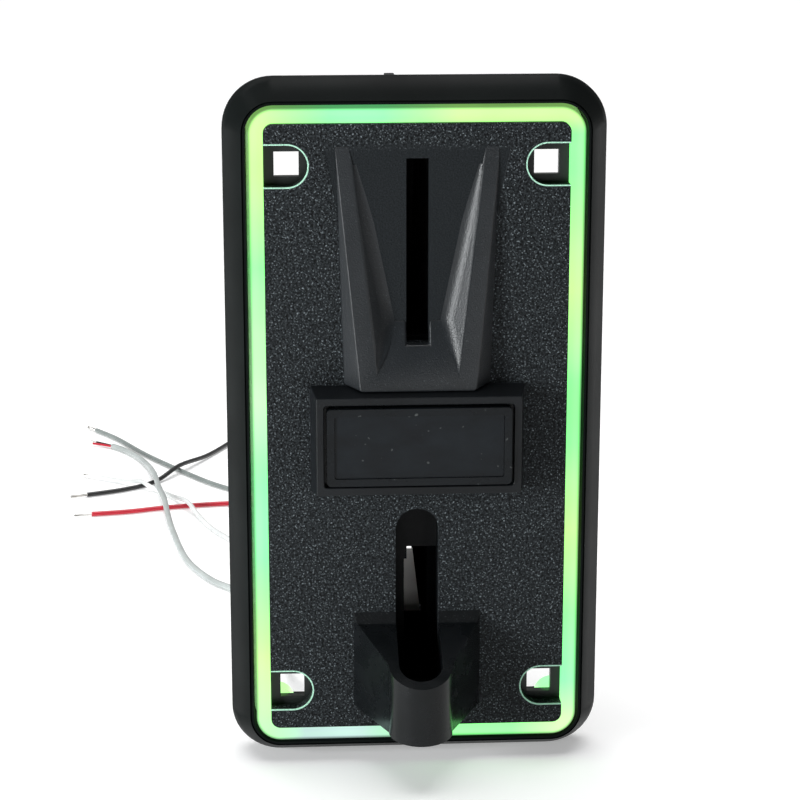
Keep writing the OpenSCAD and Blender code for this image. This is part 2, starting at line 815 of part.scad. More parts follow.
module board_cover() {
    z = [66.5, 104.2];
    color([0.14, 0.14, 0.15]) placed() difference() {
        block([-23.2, pcb_face], [29, 52], z);
        block([-22, -17], [30.2, 50.8], [z[0] - 1, z[1] - 1.2]);
        block([-24, -21], [33, 48], [83, 93]);
        for (d = key_spots) bar_x(2.1, [-24, -21], [d, key_z]);
        for (d = [32, 49]) bar_x(1.1, [-24, -17], [d, 100]);
    }
    color([0.14, 0.14, 0.15]) placed()
        for (d = [32, 49])
            difference() {
                bar_x(1.9, [-22.2, pcb_face], [d, 100]);
                bar_x(1.1, [-24, -17], [d, 100]);
            }
}

// Screw along X into a post, its head on the outer side.
module screw_x(spot, seat, tip) {
    bar_x(screw_r, [seat, tip], spot);
    bar_x(1.7, [seat - 1.1, seat], spot);
}

module board_screws() {
    color("silver") placed() {
        for (d = [32, 49]) {
            screw_x([d, 100], -23.2, -9);
            screw_x([d, 46], pcb_face, -9);
        }
    }
}

module setup_key_1() {
    setup_key(0);
}

module setup_key_2() {
    setup_key(1);
}

module setup_key_3() {
    setup_key(2);
}

module mode_knob_1() {
    mode_knob(0);
}

module mode_knob_2() {
    mode_knob(1);
}

// ---- Wires ----

// Smooth curve through the route's points.
function curve_point(p, i, t) =
    let (
        a = p[max(i - 1, 0)], b = p[i], c = p[min(i + 1, len(p) - 1)],
        d = p[min(i + 2, len(p) - 1)]
    )
    0.5 * (2 * b + (c - a) * t + (2 * a - 5 * b + 4 * c - d) * t * t
        + (3 * b - a - 3 * c + d) * t * t * t);

function curve(p, steps) = concat(
    [for (i = [0 : len(p) - 2], s = [0 : steps - 1]) curve_point(p, i, s / steps)],
    [p[len(p) - 1]]
);

function unit(v) = v / norm(v);

// Direction of the curve at ring i: straight out of the plug at the start.
function heading(c, i) =
    i == 0 ? [0, 1, 0] : unit(c[min(i + 1, len(c) - 1)] - c[i - 1]);

module tube(route, d, steps) {
    sides = 8;
    c = curve(route, steps);
    n = len(c);
    points = [for (i = [0 : n - 1])
        let (t = heading(c, i), side = unit(cross(t, [0, 0, 1])), up = cross(side, t))
        for (k = [0 : sides - 1])
            c[i] + d / 2 * (cos(k * 360 / sides) * side + sin(k * 360 / sides) * up)
    ];
    walls = [for (i = [0 : n - 2], k = [0 : sides - 1])
        let (a = i * sides + k, b = i * sides + (k + 1) % sides)
        [a, b, b + sides, a + sides]
    ];
    start = [for (k = [0 : sides - 1]) sides - 1 - k];
    end = [for (k = [0 : sides - 1]) (n - 1) * sides + k];
    polyhedron(points = points, faces = concat(walls, [start, end]));
}

module wire_black() {
    color([0.03, 0.03, 0.03]) tube(black_route, wire_d, 4);
}

module wire_red() {
    color([0.75, 0.04, 0.08]) tube(red_route, wire_d, 4);
}

module wire_grey() {
    color([0.5, 0.54, 0.52]) tube(grey_route, wire_d, 4);
}

module wire_white() {
    color([0.95, 0.95, 0.95]) tube(white_route, wire_d, 4);
}

module light_lead() {
    color([0.7, 0.72, 0.71]) tube(lead_route, lead_d, 3);
}

bezel_frame();
light_guide();
led_board();
ring_leds();
led_connector();
face_plate();
bolt_pockets();
coin_entry();
coin_ducts();
plate_posts();
button_frame();
return_cup();
back_frame();
frame_screws();
plate_screws();
reject_button();
button_panel();
button_springs();
chassis();
chassis_screws();
chassis_coils();
return_chute();
gate_pin();
gate_spring();
gate_plate();
gate_coils();
solenoid_frame();
solenoid_coil();
plunger();
plunger_spring();
flap_shaft();
flap_crank();
diverter_flap();
exit_sensor();
control_board();
board_chips();
capacitors();
digit_display();
key_bodies();
setup_key_1();
setup_key_2();
setup_key_3();
switch_bodies();
mode_knob_1();
mode_knob_2();
wire_header();
harness_plug();
board_cover();
board_screws();
wire_black();
wire_red();
wire_grey();
wire_white();
light_lead();
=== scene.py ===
import math
import bmesh
import bpy
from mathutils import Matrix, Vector


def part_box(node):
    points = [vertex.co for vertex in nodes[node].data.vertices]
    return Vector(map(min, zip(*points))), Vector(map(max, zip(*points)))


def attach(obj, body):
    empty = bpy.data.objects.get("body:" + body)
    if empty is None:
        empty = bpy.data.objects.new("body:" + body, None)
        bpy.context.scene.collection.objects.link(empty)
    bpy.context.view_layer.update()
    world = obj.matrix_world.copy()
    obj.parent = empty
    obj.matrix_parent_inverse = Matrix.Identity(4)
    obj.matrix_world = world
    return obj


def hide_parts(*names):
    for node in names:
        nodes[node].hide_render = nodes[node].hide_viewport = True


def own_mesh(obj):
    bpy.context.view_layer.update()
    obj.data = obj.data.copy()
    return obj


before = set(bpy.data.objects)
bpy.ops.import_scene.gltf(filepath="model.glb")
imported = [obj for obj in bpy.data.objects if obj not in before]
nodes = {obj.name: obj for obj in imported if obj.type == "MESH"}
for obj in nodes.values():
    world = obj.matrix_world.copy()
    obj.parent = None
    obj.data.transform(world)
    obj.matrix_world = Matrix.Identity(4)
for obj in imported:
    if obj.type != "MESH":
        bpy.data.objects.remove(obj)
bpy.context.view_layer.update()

MM = 0.001
# Front of the face plate; the bezel's lip stands 1 mm behind it.
PLATE_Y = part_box("bezel_frame")[0].y - 1.0 * MM
MID_Z = sum(corner.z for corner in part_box("bezel_frame")) / 2
# Bolt holes' distance from the middle, and the radius of the pockets round them.
HOLE_X = 24 * MM
HOLE_Z = 51 * MM
POCKET_R = 4 * MM
# Outer edge of the light guide's ring, from the middle, and the radius of its corners.
RING_X = 31 * MM
RING_Z = 61.5 * MM
RING_CORNER = 4.7 * MM
# Height from which the outline of the finer grain in the flared entry is measured.
SCOOP_Z = 0.0761
# Where most of a noise texture's values lie.
NOISE_LOW = 0.3
NOISE_HIGH = 0.7
# Smooth shading stops at edges sharper than the first, and rounding starts at the second.
SMOOTH_BELOW = math.radians(28)
ROUND_ABOVE = math.radians(35)


# ---- Camera ----

def make_camera():
    """Long lens in front, a little left of the middle, looking down by about 15 degrees."""
    data = bpy.data.cameras.new("camera")
    data.lens = 108
    data.sensor_width = 36
    camera = bpy.data.objects.new("camera", data)
    camera.location = (-0.0288, -0.4537, 0.1886)
    camera.rotation_euler = (math.radians(75.1), 0, math.radians(-3.37))
    bpy.context.scene.collection.objects.link(camera)
    bpy.context.scene.camera = camera


make_camera()


# ---- Node materials ----

class Material:
    """A node material round one Principled shader, with textures in the part's own coordinates."""

    def __init__(self, name, colour, roughness, metallic=0.0, specular=0.5):
        self.material = bpy.data.materials.new(name)
        self.material.use_nodes = True
        self.tree = self.material.node_tree
        self.shader = self.tree.nodes["Principled BSDF"]
        self.colour = (*colour, 1)
        self.roughness = roughness
        self.shader.inputs["Base Color"].default_value = self.colour
        self.shader.inputs["Roughness"].default_value = roughness
        self.shader.inputs["Metallic"].default_value = metallic
        self.shader.inputs["Specular IOR Level"].default_value = specular
        self.place = self.node("ShaderNodeTexCoord").outputs["Object"]

    def node(self, kind, **settings):
        made = self.tree.nodes.new(kind)
        for key, value in settings.items():
            setattr(made, key, value)
        return made

    def feed(self, socket, value):
        """Links an output to the socket, or sets a plain value on it."""
        if isinstance(value, bpy.types.NodeSocket):
            self.tree.links.new(value, socket)
        else:
            socket.default_value = value

    def math(self, operation, *values):
        made = self.node("ShaderNodeMath", operation=operation)
        for socket, value in zip(made.inputs, values):
            self.feed(socket, value)
        return made.outputs[0]

    def axes(self, centre=(0, 0, 0)):
        """Distances in metres from a centre along X, Y and Z."""
        parts = self.node("ShaderNodeSeparateXYZ")
        self.tree.links.new(self.place, parts.inputs[0])
        return [self.math("SUBTRACT", parts.outputs[i], centre[i]) for i in range(3)]

    def noise(self, scale, detail=2.0, stretch=(1, 1, 1)):
        mapping = self.node("ShaderNodeMapping")
        mapping.inputs["Scale"].default_value = stretch
        self.tree.links.new(self.place, mapping.inputs["Vector"])
        made = self.node("ShaderNodeTexNoise")
        made.inputs["Scale"].default_value = scale
        made.inputs["Detail"].default_value = detail
        self.tree.links.new(mapping.outputs[0], made.inputs["Vector"])
        return made.outputs[0]

    def cells(self, scale):
        made = self.node("ShaderNodeTexVoronoi", feature="SMOOTH_F1")
        made.inputs["Scale"].default_value = scale
        self.tree.links.new(self.place, made.inputs["Vector"])
        return made.outputs["Distance"]

    def waves(self, scale, direction):
        made = self.node("ShaderNodeTexWave", bands_direction=direction)
        made.inputs["Scale"].default_value = scale
        self.tree.links.new(self.place, made.inputs["Vector"])
        return made.outputs["Fac"]

    def length(self, a, b):
        """Length of the diagonal of two sides."""
        square = self.math("ADD", self.math("POWER", a, 2.0), self.math("POWER", b, 2.0))
        return self.math("SQRT", square)

    def span(self, value, low, high, out_low=0.0, out_high=1.0, kind="SMOOTHSTEP"):
        """The value taken from [low, high] to [out_low, out_high] and clamped, smoothly or evenly."""
        made = self.node("ShaderNodeMapRange", interpolation_type=kind)
        self.feed(made.inputs["Value"], value)
        made.inputs["From Min"].default_value = low
        made.inputs["From Max"].default_value = high
        made.inputs["To Min"].default_value = out_low
        made.inputs["To Max"].default_value = out_high
        return made.outputs[0]

    def mix(self, share, a, b):
        made = self.node("ShaderNodeMix", data_type="RGBA")
        self.feed(made.inputs["Factor"], share)
        self.feed(made.inputs[6], a)
        self.feed(made.inputs[7], b)
        return made.outputs[2]

    def ramp(self, value, stops):
        made = self.node("ShaderNodeValToRGB")
        elements = made.color_ramp.elements
        while len(elements) < len(stops):
            elements.new(0.5)
        for element, (place, colour) in zip(elements, stops):
            element.position = place
            element.color = (*colour, 1)
        self.feed(made.inputs[0], value)
        return made.outputs[0]

    def set_colour(self, output):
        self.tree.links.new(output, self.shader.inputs["Base Color"])

    def set_roughness(self, output):
        self.tree.links.new(output, self.shader.inputs["Roughness"])

    def bump(self, height, distance, strength=1.0):
        made = self.node("ShaderNodeBump")
        made.inputs["Distance"].default_value = distance
        made.inputs["Strength"].default_value = strength
        self.feed(made.inputs["Height"], height)
        old = self.shader.inputs["Normal"].links
        if old:
            self.tree.links.new(old[0].from_socket, made.inputs["Normal"])
        self.tree.links.new(made.outputs[0], self.shader.inputs["Normal"])

    def vary(self, amount, scale, detail=4.0):
        """Lets the colour and the roughness drift by a share of themselves over the surface."""
        drift = self.noise(scale, detail)
        darker = tuple(c * (1 - amount) for c in self.colour[:3])
        lighter = tuple(min(1, c * (1 + amount)) for c in self.colour[:3])
        self.set_colour(self.ramp(drift, [(NOISE_LOW, darker), (NOISE_HIGH, lighter)]))
        duller = self.roughness * (1 + amount / 3)
        glossier = self.roughness * (1 - amount / 3)
        self.set_roughness(self.span(drift, NOISE_LOW, NOISE_HIGH, duller, glossier))

    def vary_roughness(self, scale, detail, low, high):
        """Lets the roughness alone drift between two values."""
        drift = self.noise(scale, detail)
        self.set_roughness(self.span(drift, NOISE_LOW, NOISE_HIGH, low, high))


def plastic(name, colour, roughness, grain=0.3, depth=0.02, drift=0.25, specular=0.5):
    """Moulded plastic: a fine grain of that size and depth in millimetres, and faint drift."""
    made = Material(name, colour, roughness, specular=specular)
    made.vary(drift, 90)
    made.bump(made.noise(1 / (grain * MM), 2.0), depth * MM)
    return made


def metal(name, colour, roughness, grain=0.25, depth=0.006, stretch=(1, 1, 1)):
    """Bare metal with a fine grain, in millimetres, that may be drawn out along one axis."""
    made = Material(name, colour, roughness, metallic=1.0)
    made.vary(0.2, 260)
    made.bump(made.noise(1 / (grain * MM), 3.0, stretch), depth * MM)
    return made


def grain_glint_dots(made, size, low=0.12, high=0.34):
    """Dense grain dots about that many millimetres apart, each of its own brightness; their brightness
    is painted, standing in for glints of light on the grain.
    """
    dots = made.span(made.cells(1 / (size * MM)), low, high, 1.0, 0.0)
    strength = made.span(made.noise(0.9 / (size * MM), 2.0), 0.44, 0.7, 0.04, 1.0)
    return made.math("MULTIPLY", dots, strength)


def face_plate_material():
    """Coarse grain with its glints painted as bright dots, with the finer grain of the flared entry
    between its two ridges.
    """
    made = Material("plate_grain_and_glints", (0.009, 0.011, 0.013), 0.5, specular=0.12)
    # Pale green of the painted highlight on the bolt pockets' edges.
    rim_glint = (0.42, 0.72, 0.56, 1)
    # Pale grey painted on the grain dots as their glints of light.
    painted_glint = (0.24, 0.28, 0.3, 1)
    x, _, z = made.axes((0, 0, SCOOP_Z))
    half_width = made.math("MULTIPLY_ADD", z, 0.21, 8.0 * MM)
    inside = made.math("SUBTRACT", half_width, made.math("ABSOLUTE", x))
    beside = made.span(inside, 0, 0.4 * MM)
    above = made.span(z, 8 * MM, 9 * MM)
    below = made.span(z, 43.5 * MM, 46 * MM, 1.0, 0.0)
    scoop = made.math("MULTIPLY", beside, made.math("MULTIPLY", above, below))
    grit = made.noise(2300, 3.0)
    coarse = made.ramp(grit, [(0.4, (0.001, 0.0015, 0.002)), (0.64, (0.021, 0.025, 0.028))])
    grain_glints = grain_glint_dots(made, 0.36, 0.14, 0.42)
    # Painted highlight: the grain dots take a pale colour that stands in for glints of light on the
    # coarse grain.
    grainy = made.mix(grain_glints, coarse, painted_glint)
    fine = made.noise(3600, 2.0)
    smooth = made.ramp(fine, [(0.35, (0.006, 0.0075, 0.009)), (0.65, (0.014, 0.017, 0.019))])
    plain = made.mix(scoop, grainy, smooth)
    # Painted highlight: a pale green line on the pocket edges stands in for the light guide's glow
    # reflected there.
    made.set_colour(made.mix(pocket_rim_glints(made), plain, rim_glint))
    made.set_roughness(made.span(grain_glints, 0, 1, 0.55, 0.3))
    height = made.math("ADD", grain_glints, made.math("MULTIPLY", grit, 1.6))
    made.bump(made.math("MULTIPLY", height, made.span(scoop, 0, 1, 1.0, 0.3)), 0.12 * MM)
    return made.material


def pocket_rim_glints(made):
    """Share of a painted highlight along the front edges of the four D-shaped bolt pockets: a pale green
    line standing in for the light guide's glow caught on those edges.
    """
    x, depth, z = made.axes((0, PLATE_Y, MID_Z))
    past = made.math("SUBTRACT", made.math("ABSOLUTE", x), HOLE_X)
    aside = made.math("SUBTRACT", made.math("ABSOLUTE", z), HOLE_Z)
    reach = made.length(made.math("MINIMUM", past, 0.0), aside)
    outer = made.span(reach, POCKET_R + 0.02 * MM, POCKET_R + 0.16 * MM, 1.0, 0.0)
    front = made.span(depth, 0.18 * MM, 0.3 * MM, 1.0, 0.0)
    return made.math("MULTIPLY", outer, front)


def entry_material():
    """Fine even grain of the flared entry, its grain dots painted pale as glints of light."""
    made = Material("entry_grain_and_glints", (0.016, 0.0165, 0.017), 0.32, specular=0.42)
    drift = made.noise(90, 3.0)
    base = made.ramp(drift, [(0.3, (0.009, 0.011, 0.013)), (0.7, (0.014, 0.0165, 0.019))])
    grain_glints = grain_glint_dots(made, 0.36, 0.1, 0.3)
    # Painted highlight: the grain dots are mixed towards a pale grey that stands in for glints of light.
    made.set_colour(made.mix(made.math("MULTIPLY", grain_glints, 0.6), base, (0.07, 0.078, 0.085, 1)))
    made.set_roughness(made.span(grain_glints, 0, 1, 0.36, 0.27))
    made.bump(made.noise(3600, 3.0), 0.07 * MM)
    return made.material


def cup_material():
    """Glossy black, with the plate's coarse grain left on the strip under the cup's top edge, its grain
    dots painted pale as glints of light.
    """
    made = Material("cup_black", (0.005, 0.006, 0.007), 0.22, specular=0.2)
    strip_low, strip_full = 28.9 * MM, 29.3 * MM
    strip = made.span(made.axes()[2], strip_low, strip_full)
    grain_glints = made.math("MULTIPLY", strip, made.math("MULTIPLY", grain_glint_dots(made, 0.42), 0.5))
    smudge = made.noise(160, 4.0)
    base = made.ramp(smudge, [(0.35, (0.003, 0.004, 0.0045)), (0.65, (0.005, 0.006, 0.007))])
    # Painted highlight: on the strip the grain dots turn pale grey, standing in for glints of light.
    made.set_colour(made.mix(grain_glints, base, (0.06, 0.065, 0.068, 1)))
    gloss = made.span(smudge, NOISE_LOW, NOISE_HIGH, 0.22, 0.3)
    made.set_roughness(made.math("ADD", gloss, made.math("MULTIPLY", strip, 0.25)))
    grain = made.math("MULTIPLY", made.noise(2400, 3.0), made.span(strip, 0, 1, 0.06, 0.8))
    made.bump(grain, 0.12 * MM)
    return made.material


def button_material(name, colour, roughness):
    """Semi-gloss button plastic with finger smudges and a few flecks of dust."""
    made = Material(name, colour, roughness, specular=0.16)
    smudge = made.noise(140, 6.0, (1, 1, 1.8))
    dust = made.span(made.noise(900, 1.0), 0.735, 0.76)
    pale = tuple(c * 1.9 for c in colour)
    base = made.ramp(smudge, [(0.35, colour), (0.7, pale)])
    made.set_colour(made.mix(dust, base, (0.05, 0.055, 0.055, 1)))
    made.set_roughness(made.span(smudge, NOISE_LOW, NOISE_HIGH, roughness * 0.85, roughness * 1.35))
    made.bump(made.noise(2600, 2.0), 0.015 * MM)
    return made.material


# Strength of the light guide's emission where it is brightest.
GLOW = 1.7


def glow(red, green, blue):
    """Linear colour for the light guide from a 0-255 one, so that it shows as that colour when lit."""
    lit = [((c / 255 + 0.055) / 1.055) ** 2.4 for c in (red, green, blue)]
    return (lit[0] / GLOW, lit[1], lit[2] / GLOW)


YELLOW_GREEN = glow(228, 254, 170)
GREEN = glow(160, 254, 172)
MINT = glow(160, 252, 196)
PALE = glow(214, 254, 208)
COOL = (0.40, 0.545, 0.555)
WARM = glow(232, 252, 197)
LED_GREEN = (0.5, 1.0, 0.45, 1)


def light_guide_material():
    """Clear guide lit by a row of colour-changing LEDs: its hue drifts along the ring."""
    made = Material("light_guide_glow", (0.02, 0.05, 0.02), 0.3)
    x, _, z = made.axes((0, 0, MID_Z))
    along = made.span(z, -RING_Z, RING_Z, kind="LINEAR")
    across = made.span(x, -RING_X, RING_X, kind="LINEAR")
    left = made.ramp(along, [
        (0.0, PALE), (0.14, YELLOW_GREEN), (0.3, MINT), (0.42, MINT), (0.55, PALE),
        (0.66, PALE), (0.76, GREEN), (0.9, YELLOW_GREEN),
    ])
    right = made.ramp(along, [
        (0.02, WARM), (0.09, MINT), (0.2, GREEN), (0.34, YELLOW_GREEN), (0.48, GREEN),
        (0.58, GREEN), (0.72, YELLOW_GREEN), (0.9, GREEN),
    ])
    top = made.ramp(across, [
        (0.03, YELLOW_GREEN), (0.24, MINT), (0.4, MINT), (0.62, YELLOW_GREEN),
        (0.95, YELLOW_GREEN),
    ])
    bottom = made.ramp(across, [
        (0.04, PALE), (0.15, COOL), (0.33, COOL), (0.6, GREEN), (0.8, GREEN), (0.95, WARM),
    ])
    sides = made.mix(made.span(x, -1 * MM, 1 * MM), left, right)
    upper = made.span(z, 56 * MM, 60 * MM)
    lower = made.span(z, -60 * MM, -56 * MM, 1.0, 0.0)
    hue = made.mix(lower, made.mix(upper, sides, top), bottom)

    # How far inside the ring's rounded outer edge each place is.
    reach_x = made.math("SUBTRACT", made.math("ABSOLUTE", x), RING_X - RING_CORNER)
    reach_z = made.math("SUBTRACT", made.math("ABSOLUTE", z), RING_Z - RING_CORNER)
    out_x = made.math("MAXIMUM", reach_x, 0.0)
    out_z = made.math("MAXIMUM", reach_z, 0.0)
    diagonal = made.length(out_x, out_z)
    inner = made.math("MINIMUM", made.math("MAXIMUM", reach_x, reach_z), 0.0)
    inset = made.math("SUBTRACT", RING_CORNER, made.math("ADD", diagonal, inner))

    rim = made.span(inset, 0.0, 0.6 * MM, 0.25, 1.0)
    core_from = made.span(inset, 0.2 * MM, 0.9 * MM)
    core_to = made.span(inset, 1.1 * MM, 2.2 * MM, 1.0, 0.0)
    core = made.math("MULTIPLY", core_from, core_to)
    soft = made.mix(made.math("MULTIPLY", core, 0.12), hue, LED_GREEN)
    beads = made.span(made.noise(55, 1.0), NOISE_LOW, NOISE_HIGH, 0.76, 0.94)
    strength = made.math("MULTIPLY", made.math("MULTIPLY", rim, beads), GLOW)
    made.feed(made.shader.inputs["Emission Color"], soft)
    made.feed(made.shader.inputs["Emission Strength"], strength)
    return made.material


def board_material(name, mask, track, roughness=0.35):
    """Circuit board: solder mask over raised tracks, with a weave showing faintly through it."""
    made = Material(name, mask, roughness)
    blocks = made.node("ShaderNodeTexBrick")
    blocks.inputs["Scale"].default_value = 160
    blocks.inputs["Mortar Size"].default_value = 0.035
    blocks.inputs["Mortar Smooth"].default_value = 0.1
    parts = made.node("ShaderNodeSeparateXYZ")
    made.tree.links.new(made.place, parts.inputs[0])
    flat = made.node("ShaderNodeCombineXYZ")
    made.tree.links.new(parts.outputs[1], flat.inputs[0])
    made.tree.links.new(parts.outputs[2], flat.inputs[1])
    made.tree.links.new(flat.outputs[0], blocks.inputs["Vector"])
    patches = made.span(made.noise(70, 1.0), 0.42, 0.5)
    lines = made.math("MULTIPLY", blocks.outputs["Fac"], patches)
    weave = made.math("MULTIPLY", made.waves(900, "Y"), made.waves(900, "Z"))
    thread = (*[c * 0.5 for c in mask], 1)
    shade = made.mix(made.math("MULTIPLY", weave, 0.25), (*mask, 1), thread)
    made.set_colour(made.mix(lines, shade, (*track, 1)))
    made.vary_roughness(150, 3.0, roughness * 0.8, roughness * 1.2)
    made.bump(lines, 0.05 * MM)
    return made.material


def winding_material(name, colour, pitch, direction):
    """Enamelled copper wire wound side by side at a pitch in millimetres, with painted shade in the
    grooves between the turns.
    """
    made = Material(name, colour, 0.32, metallic=0.9)
    turns = made.waves(1 / (pitch * MM * 3.2), direction)
    # Painted shade: the colour darkens to about a third in the grooves between the turns.
    dark = tuple(c * 0.35 for c in colour)
    made.set_colour(made.ramp(turns, [(0.0, dark), (0.55, colour)]))
    made.vary_roughness(300, 3.0, 0.26, 0.42)
    made.bump(turns, 0.1 * MM)
    return made.material


def insulation(name, colour, roughness=0.38):
    """Soft PVC of a wire, slightly uneven and dulled."""
    made = Material(name, colour, roughness)
    made.vary(0.12, 180)
    made.bump(made.noise(1400, 3.0, (1, 0.4, 1)), 0.02 * MM)
    made.shader.inputs["Coat Weight"].default_value = 0.15
    made.shader.inputs["Coat Roughness"].default_value = 0.3
    return made.material


def led_material():
    """LED packages: a white body round a yellow phosphor window."""
    made = Material("led_phosphor", (0.9, 0.88, 0.8), 0.4)
    window_y = PLATE_Y + 8.65 * MM
    depth = made.axes((0, window_y, 0))[1]
    window = made.span(depth, -0.3 * MM, -0.1 * MM, 1.0, 0.0)
    made.set_colour(made.mix(window, (0.86, 0.86, 0.82, 1), (0.95, 0.78, 0.2, 1)))
    made.vary_roughness(800, 2.0, 0.3, 0.5)
    made.bump(made.noise(2500), 0.01 * MM)
    made.shader.inputs["Emission Color"].default_value = LED_GREEN
    made.shader.inputs["Emission Strength"].default_value = 1.2
    return made.material


def capacitor_material():
    """Printed sleeve with a pale stripe, bare aluminium on the scored end."""
    made = Material("capacitor_sleeve", (0.02, 0.03, 0.09), 0.3)
    end_x, middle_y = -24.6 * MM, PLATE_Y + 40.2 * MM
    x, y, _ = made.axes((end_x, middle_y, 0))
    end = made.math("LESS_THAN", x, 0.12 * MM)
    stripe = made.math("LESS_THAN", y, -1.9 * MM)
    sleeve = made.mix(stripe, (0.02, 0.03, 0.09, 1), (0.62, 0.64, 0.68, 1))
    made.set_colour(made.mix(end, sleeve, (0.6, 0.6, 0.6, 1)))
    made.vary_roughness(300, 3.0, 0.25, 0.4)
    made.bump(made.noise(1200, 2.0), 0.01 * MM)
    made.feed(made.shader.inputs["Metallic"], end)
    return made.material


materials = {
    "bezel": plastic("bezel_black", (0.0065, 0.008, 0.0078), 0.3, 0.22, 0.008, 0.15, 0.006).material,
    "plate": face_plate_material(),
    "entry": entry_material(),
    "pockets": plastic("pocket_black", (0.012, 0.015, 0.014), 0.34, 0.3, 0.01, 0.2, 0.3).material,
    "surround": plastic("surround_black", (0.006, 0.0072, 0.0085), 0.36, 0.25, 0.03, 0.25, 0.2).material,
    "cup": cup_material(),
    "button": button_material("button_black", (0.0035, 0.0045, 0.0055), 0.28),
    "panel": button_material("button_panel_black", (0.0045, 0.0058, 0.0072), 0.34),
    "guide": light_guide_material(),
    "led_board": board_material("led_board_white", (0.78, 0.8, 0.78), (0.66, 0.68, 0.66)),
    "leds": led_material(),
    "chassis": plastic("chassis_black", (0.007, 0.0076, 0.0082), 0.5, 0.3, 0.04, 0.25, 0.08).material,
    "chute": plastic("chute_black", (0.003, 0.0035, 0.004), 0.7, 0.3, 0.03, 0.2, 0.0).material,
    "cover": plastic("cover_black", (0.015, 0.016, 0.017), 0.42, 0.35, 0.05, 0.25, 0.35).material,
    "gate": plastic("gate_black", (0.024, 0.025, 0.026), 0.40, 0.3, 0.03, 0.25, 0.35).material,
    "nylon": plastic("nylon_white", (0.74, 0.73, 0.68), 0.40, 0.35, 0.02, 0.08).material,
    "ivory": plastic("header_ivory", (0.71, 0.66, 0.52), 0.38, 0.35, 0.02, 0.08).material,
    "steel": metal("bright_steel", (0.62, 0.62, 0.64), 0.26).material,
    "zinc": metal("zinc_plate", (0.66, 0.67, 0.70), 0.34, 0.5, 0.01, (1, 1, 0.2)).material,
    "screw": metal("blackened_steel", (0.09, 0.09, 0.095), 0.38).material,
    "spring": metal("spring_wire", (0.58, 0.58, 0.60), 0.22).material,
    "tin": metal("tinned_copper", (0.72, 0.71, 0.68), 0.3).material,
    "solder": metal("solder", (0.55, 0.56, 0.58), 0.3, 0.4, 0.02).material,
    "core": plastic("ferrite_grey", (0.075, 0.075, 0.08), 0.55, 0.2, 0.04).material,
    "winding": winding_material("coil_winding", (0.62, 0.24, 0.09), 0.32, "Z"),
    "chip": plastic("chip_epoxy", (0.02, 0.02, 0.022), 0.5, 0.12, 0.02, 0.2).material,
    "board": board_material("board_green", (0.012, 0.10, 0.035), (0.03, 0.19, 0.07)),
    "capacitor": capacitor_material(),
    "key": plastic("key_red", (0.52, 0.03, 0.02), 0.38, 0.3, 0.015, 0.1).material,
    "segments": plastic("segment_red", (0.20, 0.015, 0.012), 0.25, 0.2, 0.005, 0.15).material,
    "resistor": plastic("resistor_black", (0.03, 0.03, 0.035), 0.35, 0.2, 0.01, 0.2).material,
    "wire_black": insulation("wire_black", (0.012, 0.013, 0.013)),
    "wire_red": insulation("wire_red", (0.50, 0.012, 0.03)),
    "wire_grey": insulation("wire_grey", (0.23, 0.26, 0.25)),
    "wire_white": insulation("wire_white", (0.70, 0.72, 0.71)),
    "light_lead": insulation("lead_grey", (0.40, 0.43, 0.42)),
}

NODE_MATERIALS = {
    "bezel_frame": "bezel", "light_guide": "guide", "led_board": "led_board",
    "ring_leds": "leds", "led_connector": "nylon", "face_plate": "plate",
    "bolt_pockets": "pockets", "coin_entry": "entry", "coin_ducts": "chute",
    "plate_posts": "pockets", "button_frame": "surround", "return_cup": "cup",
    "back_frame": "chassis", "frame_screws": "screw", "plate_screws": "screw", "reject_button": "button",
    "button_panel": "panel", "button_springs": "spring", "chassis": "chassis",
    "chassis_screws": "screw", "chassis_coils": "core", "return_chute": "chute",
    "gate_pin": "steel", "gate_spring": "spring", "gate_plate": "gate", "gate_coils": "core",
    "solenoid_frame": "zinc", "solenoid_coil": "winding", "plunger": "steel",
    "plunger_spring": "spring", "flap_shaft": "steel", "flap_crank": "nylon",
    "diverter_flap": "nylon", "exit_sensor": "chip", "control_board": "board",
    "board_chips": "chip", "capacitors": "capacitor", "digit_display": "chip",
    "key_bodies": "chip", "setup_key_1": "key", "setup_key_2": "key", "setup_key_3": "key",
    "switch_bodies": "zinc", "mode_knob_1": "chip", "mode_knob_2": "chip",
    "wire_header": "ivory", "harness_plug": "nylon", "board_cover": "cover",
    "board_screws": "steel", "wire_black": "wire_black", "wire_red": "wire_red",
    "wire_grey": "wire_grey", "wire_white": "wire_white", "light_lead": "light_lead",
}


def paint(obj, name):
    obj.data.materials.clear()
    obj.data.materials.append(materials[name])


# ---- Rounded edges on the CAD nodes ----

def smoothing_group():
    """Welds the surface and shades it smooth except along its sharp edges."""
    group = bpy.data.node_groups.new("weld_and_smooth", "GeometryNodeTree")
    group.interface.new_socket("Geometry", in_out="INPUT", socket_type="NodeSocketGeometry")
    group.interface.new_socket("Geometry", in_out="OUTPUT", socket_type="NodeSocketGeometry")
    start = group.nodes.new("NodeGroupInput")
    end = group.nodes.new("NodeGroupOutput")
    weld = group.nodes.new("GeometryNodeMergeByDistance")
    weld.inputs["Distance"].default_value = 0.001 * MM
    normals = group.nodes.new("GeometryNodeSetMeshNormal")
    normals.mode = "SHARPNESS"
    normals.inputs["Remove Custom"].default_value = True
    angle = group.nodes.new("GeometryNodeInputMeshEdgeAngle")
    sharp = group.nodes.new("FunctionNodeCompare")
    sharp.operation = "GREATER_THAN"
    sharp.inputs[1].default_value = SMOOTH_BELOW
    links = group.links
    links.new(start.outputs[0], weld.inputs["Geometry"])
    links.new(weld.outputs[0], normals.inputs["Mesh"])
    links.new(angle.outputs["Unsigned Angle"], sharp.inputs[0])
    links.new(sharp.outputs[0], normals.inputs["Edge Sharpness"])
    links.new(normals.outputs[0], end.inputs[0])
    return group


SMOOTHING = smoothing_group()
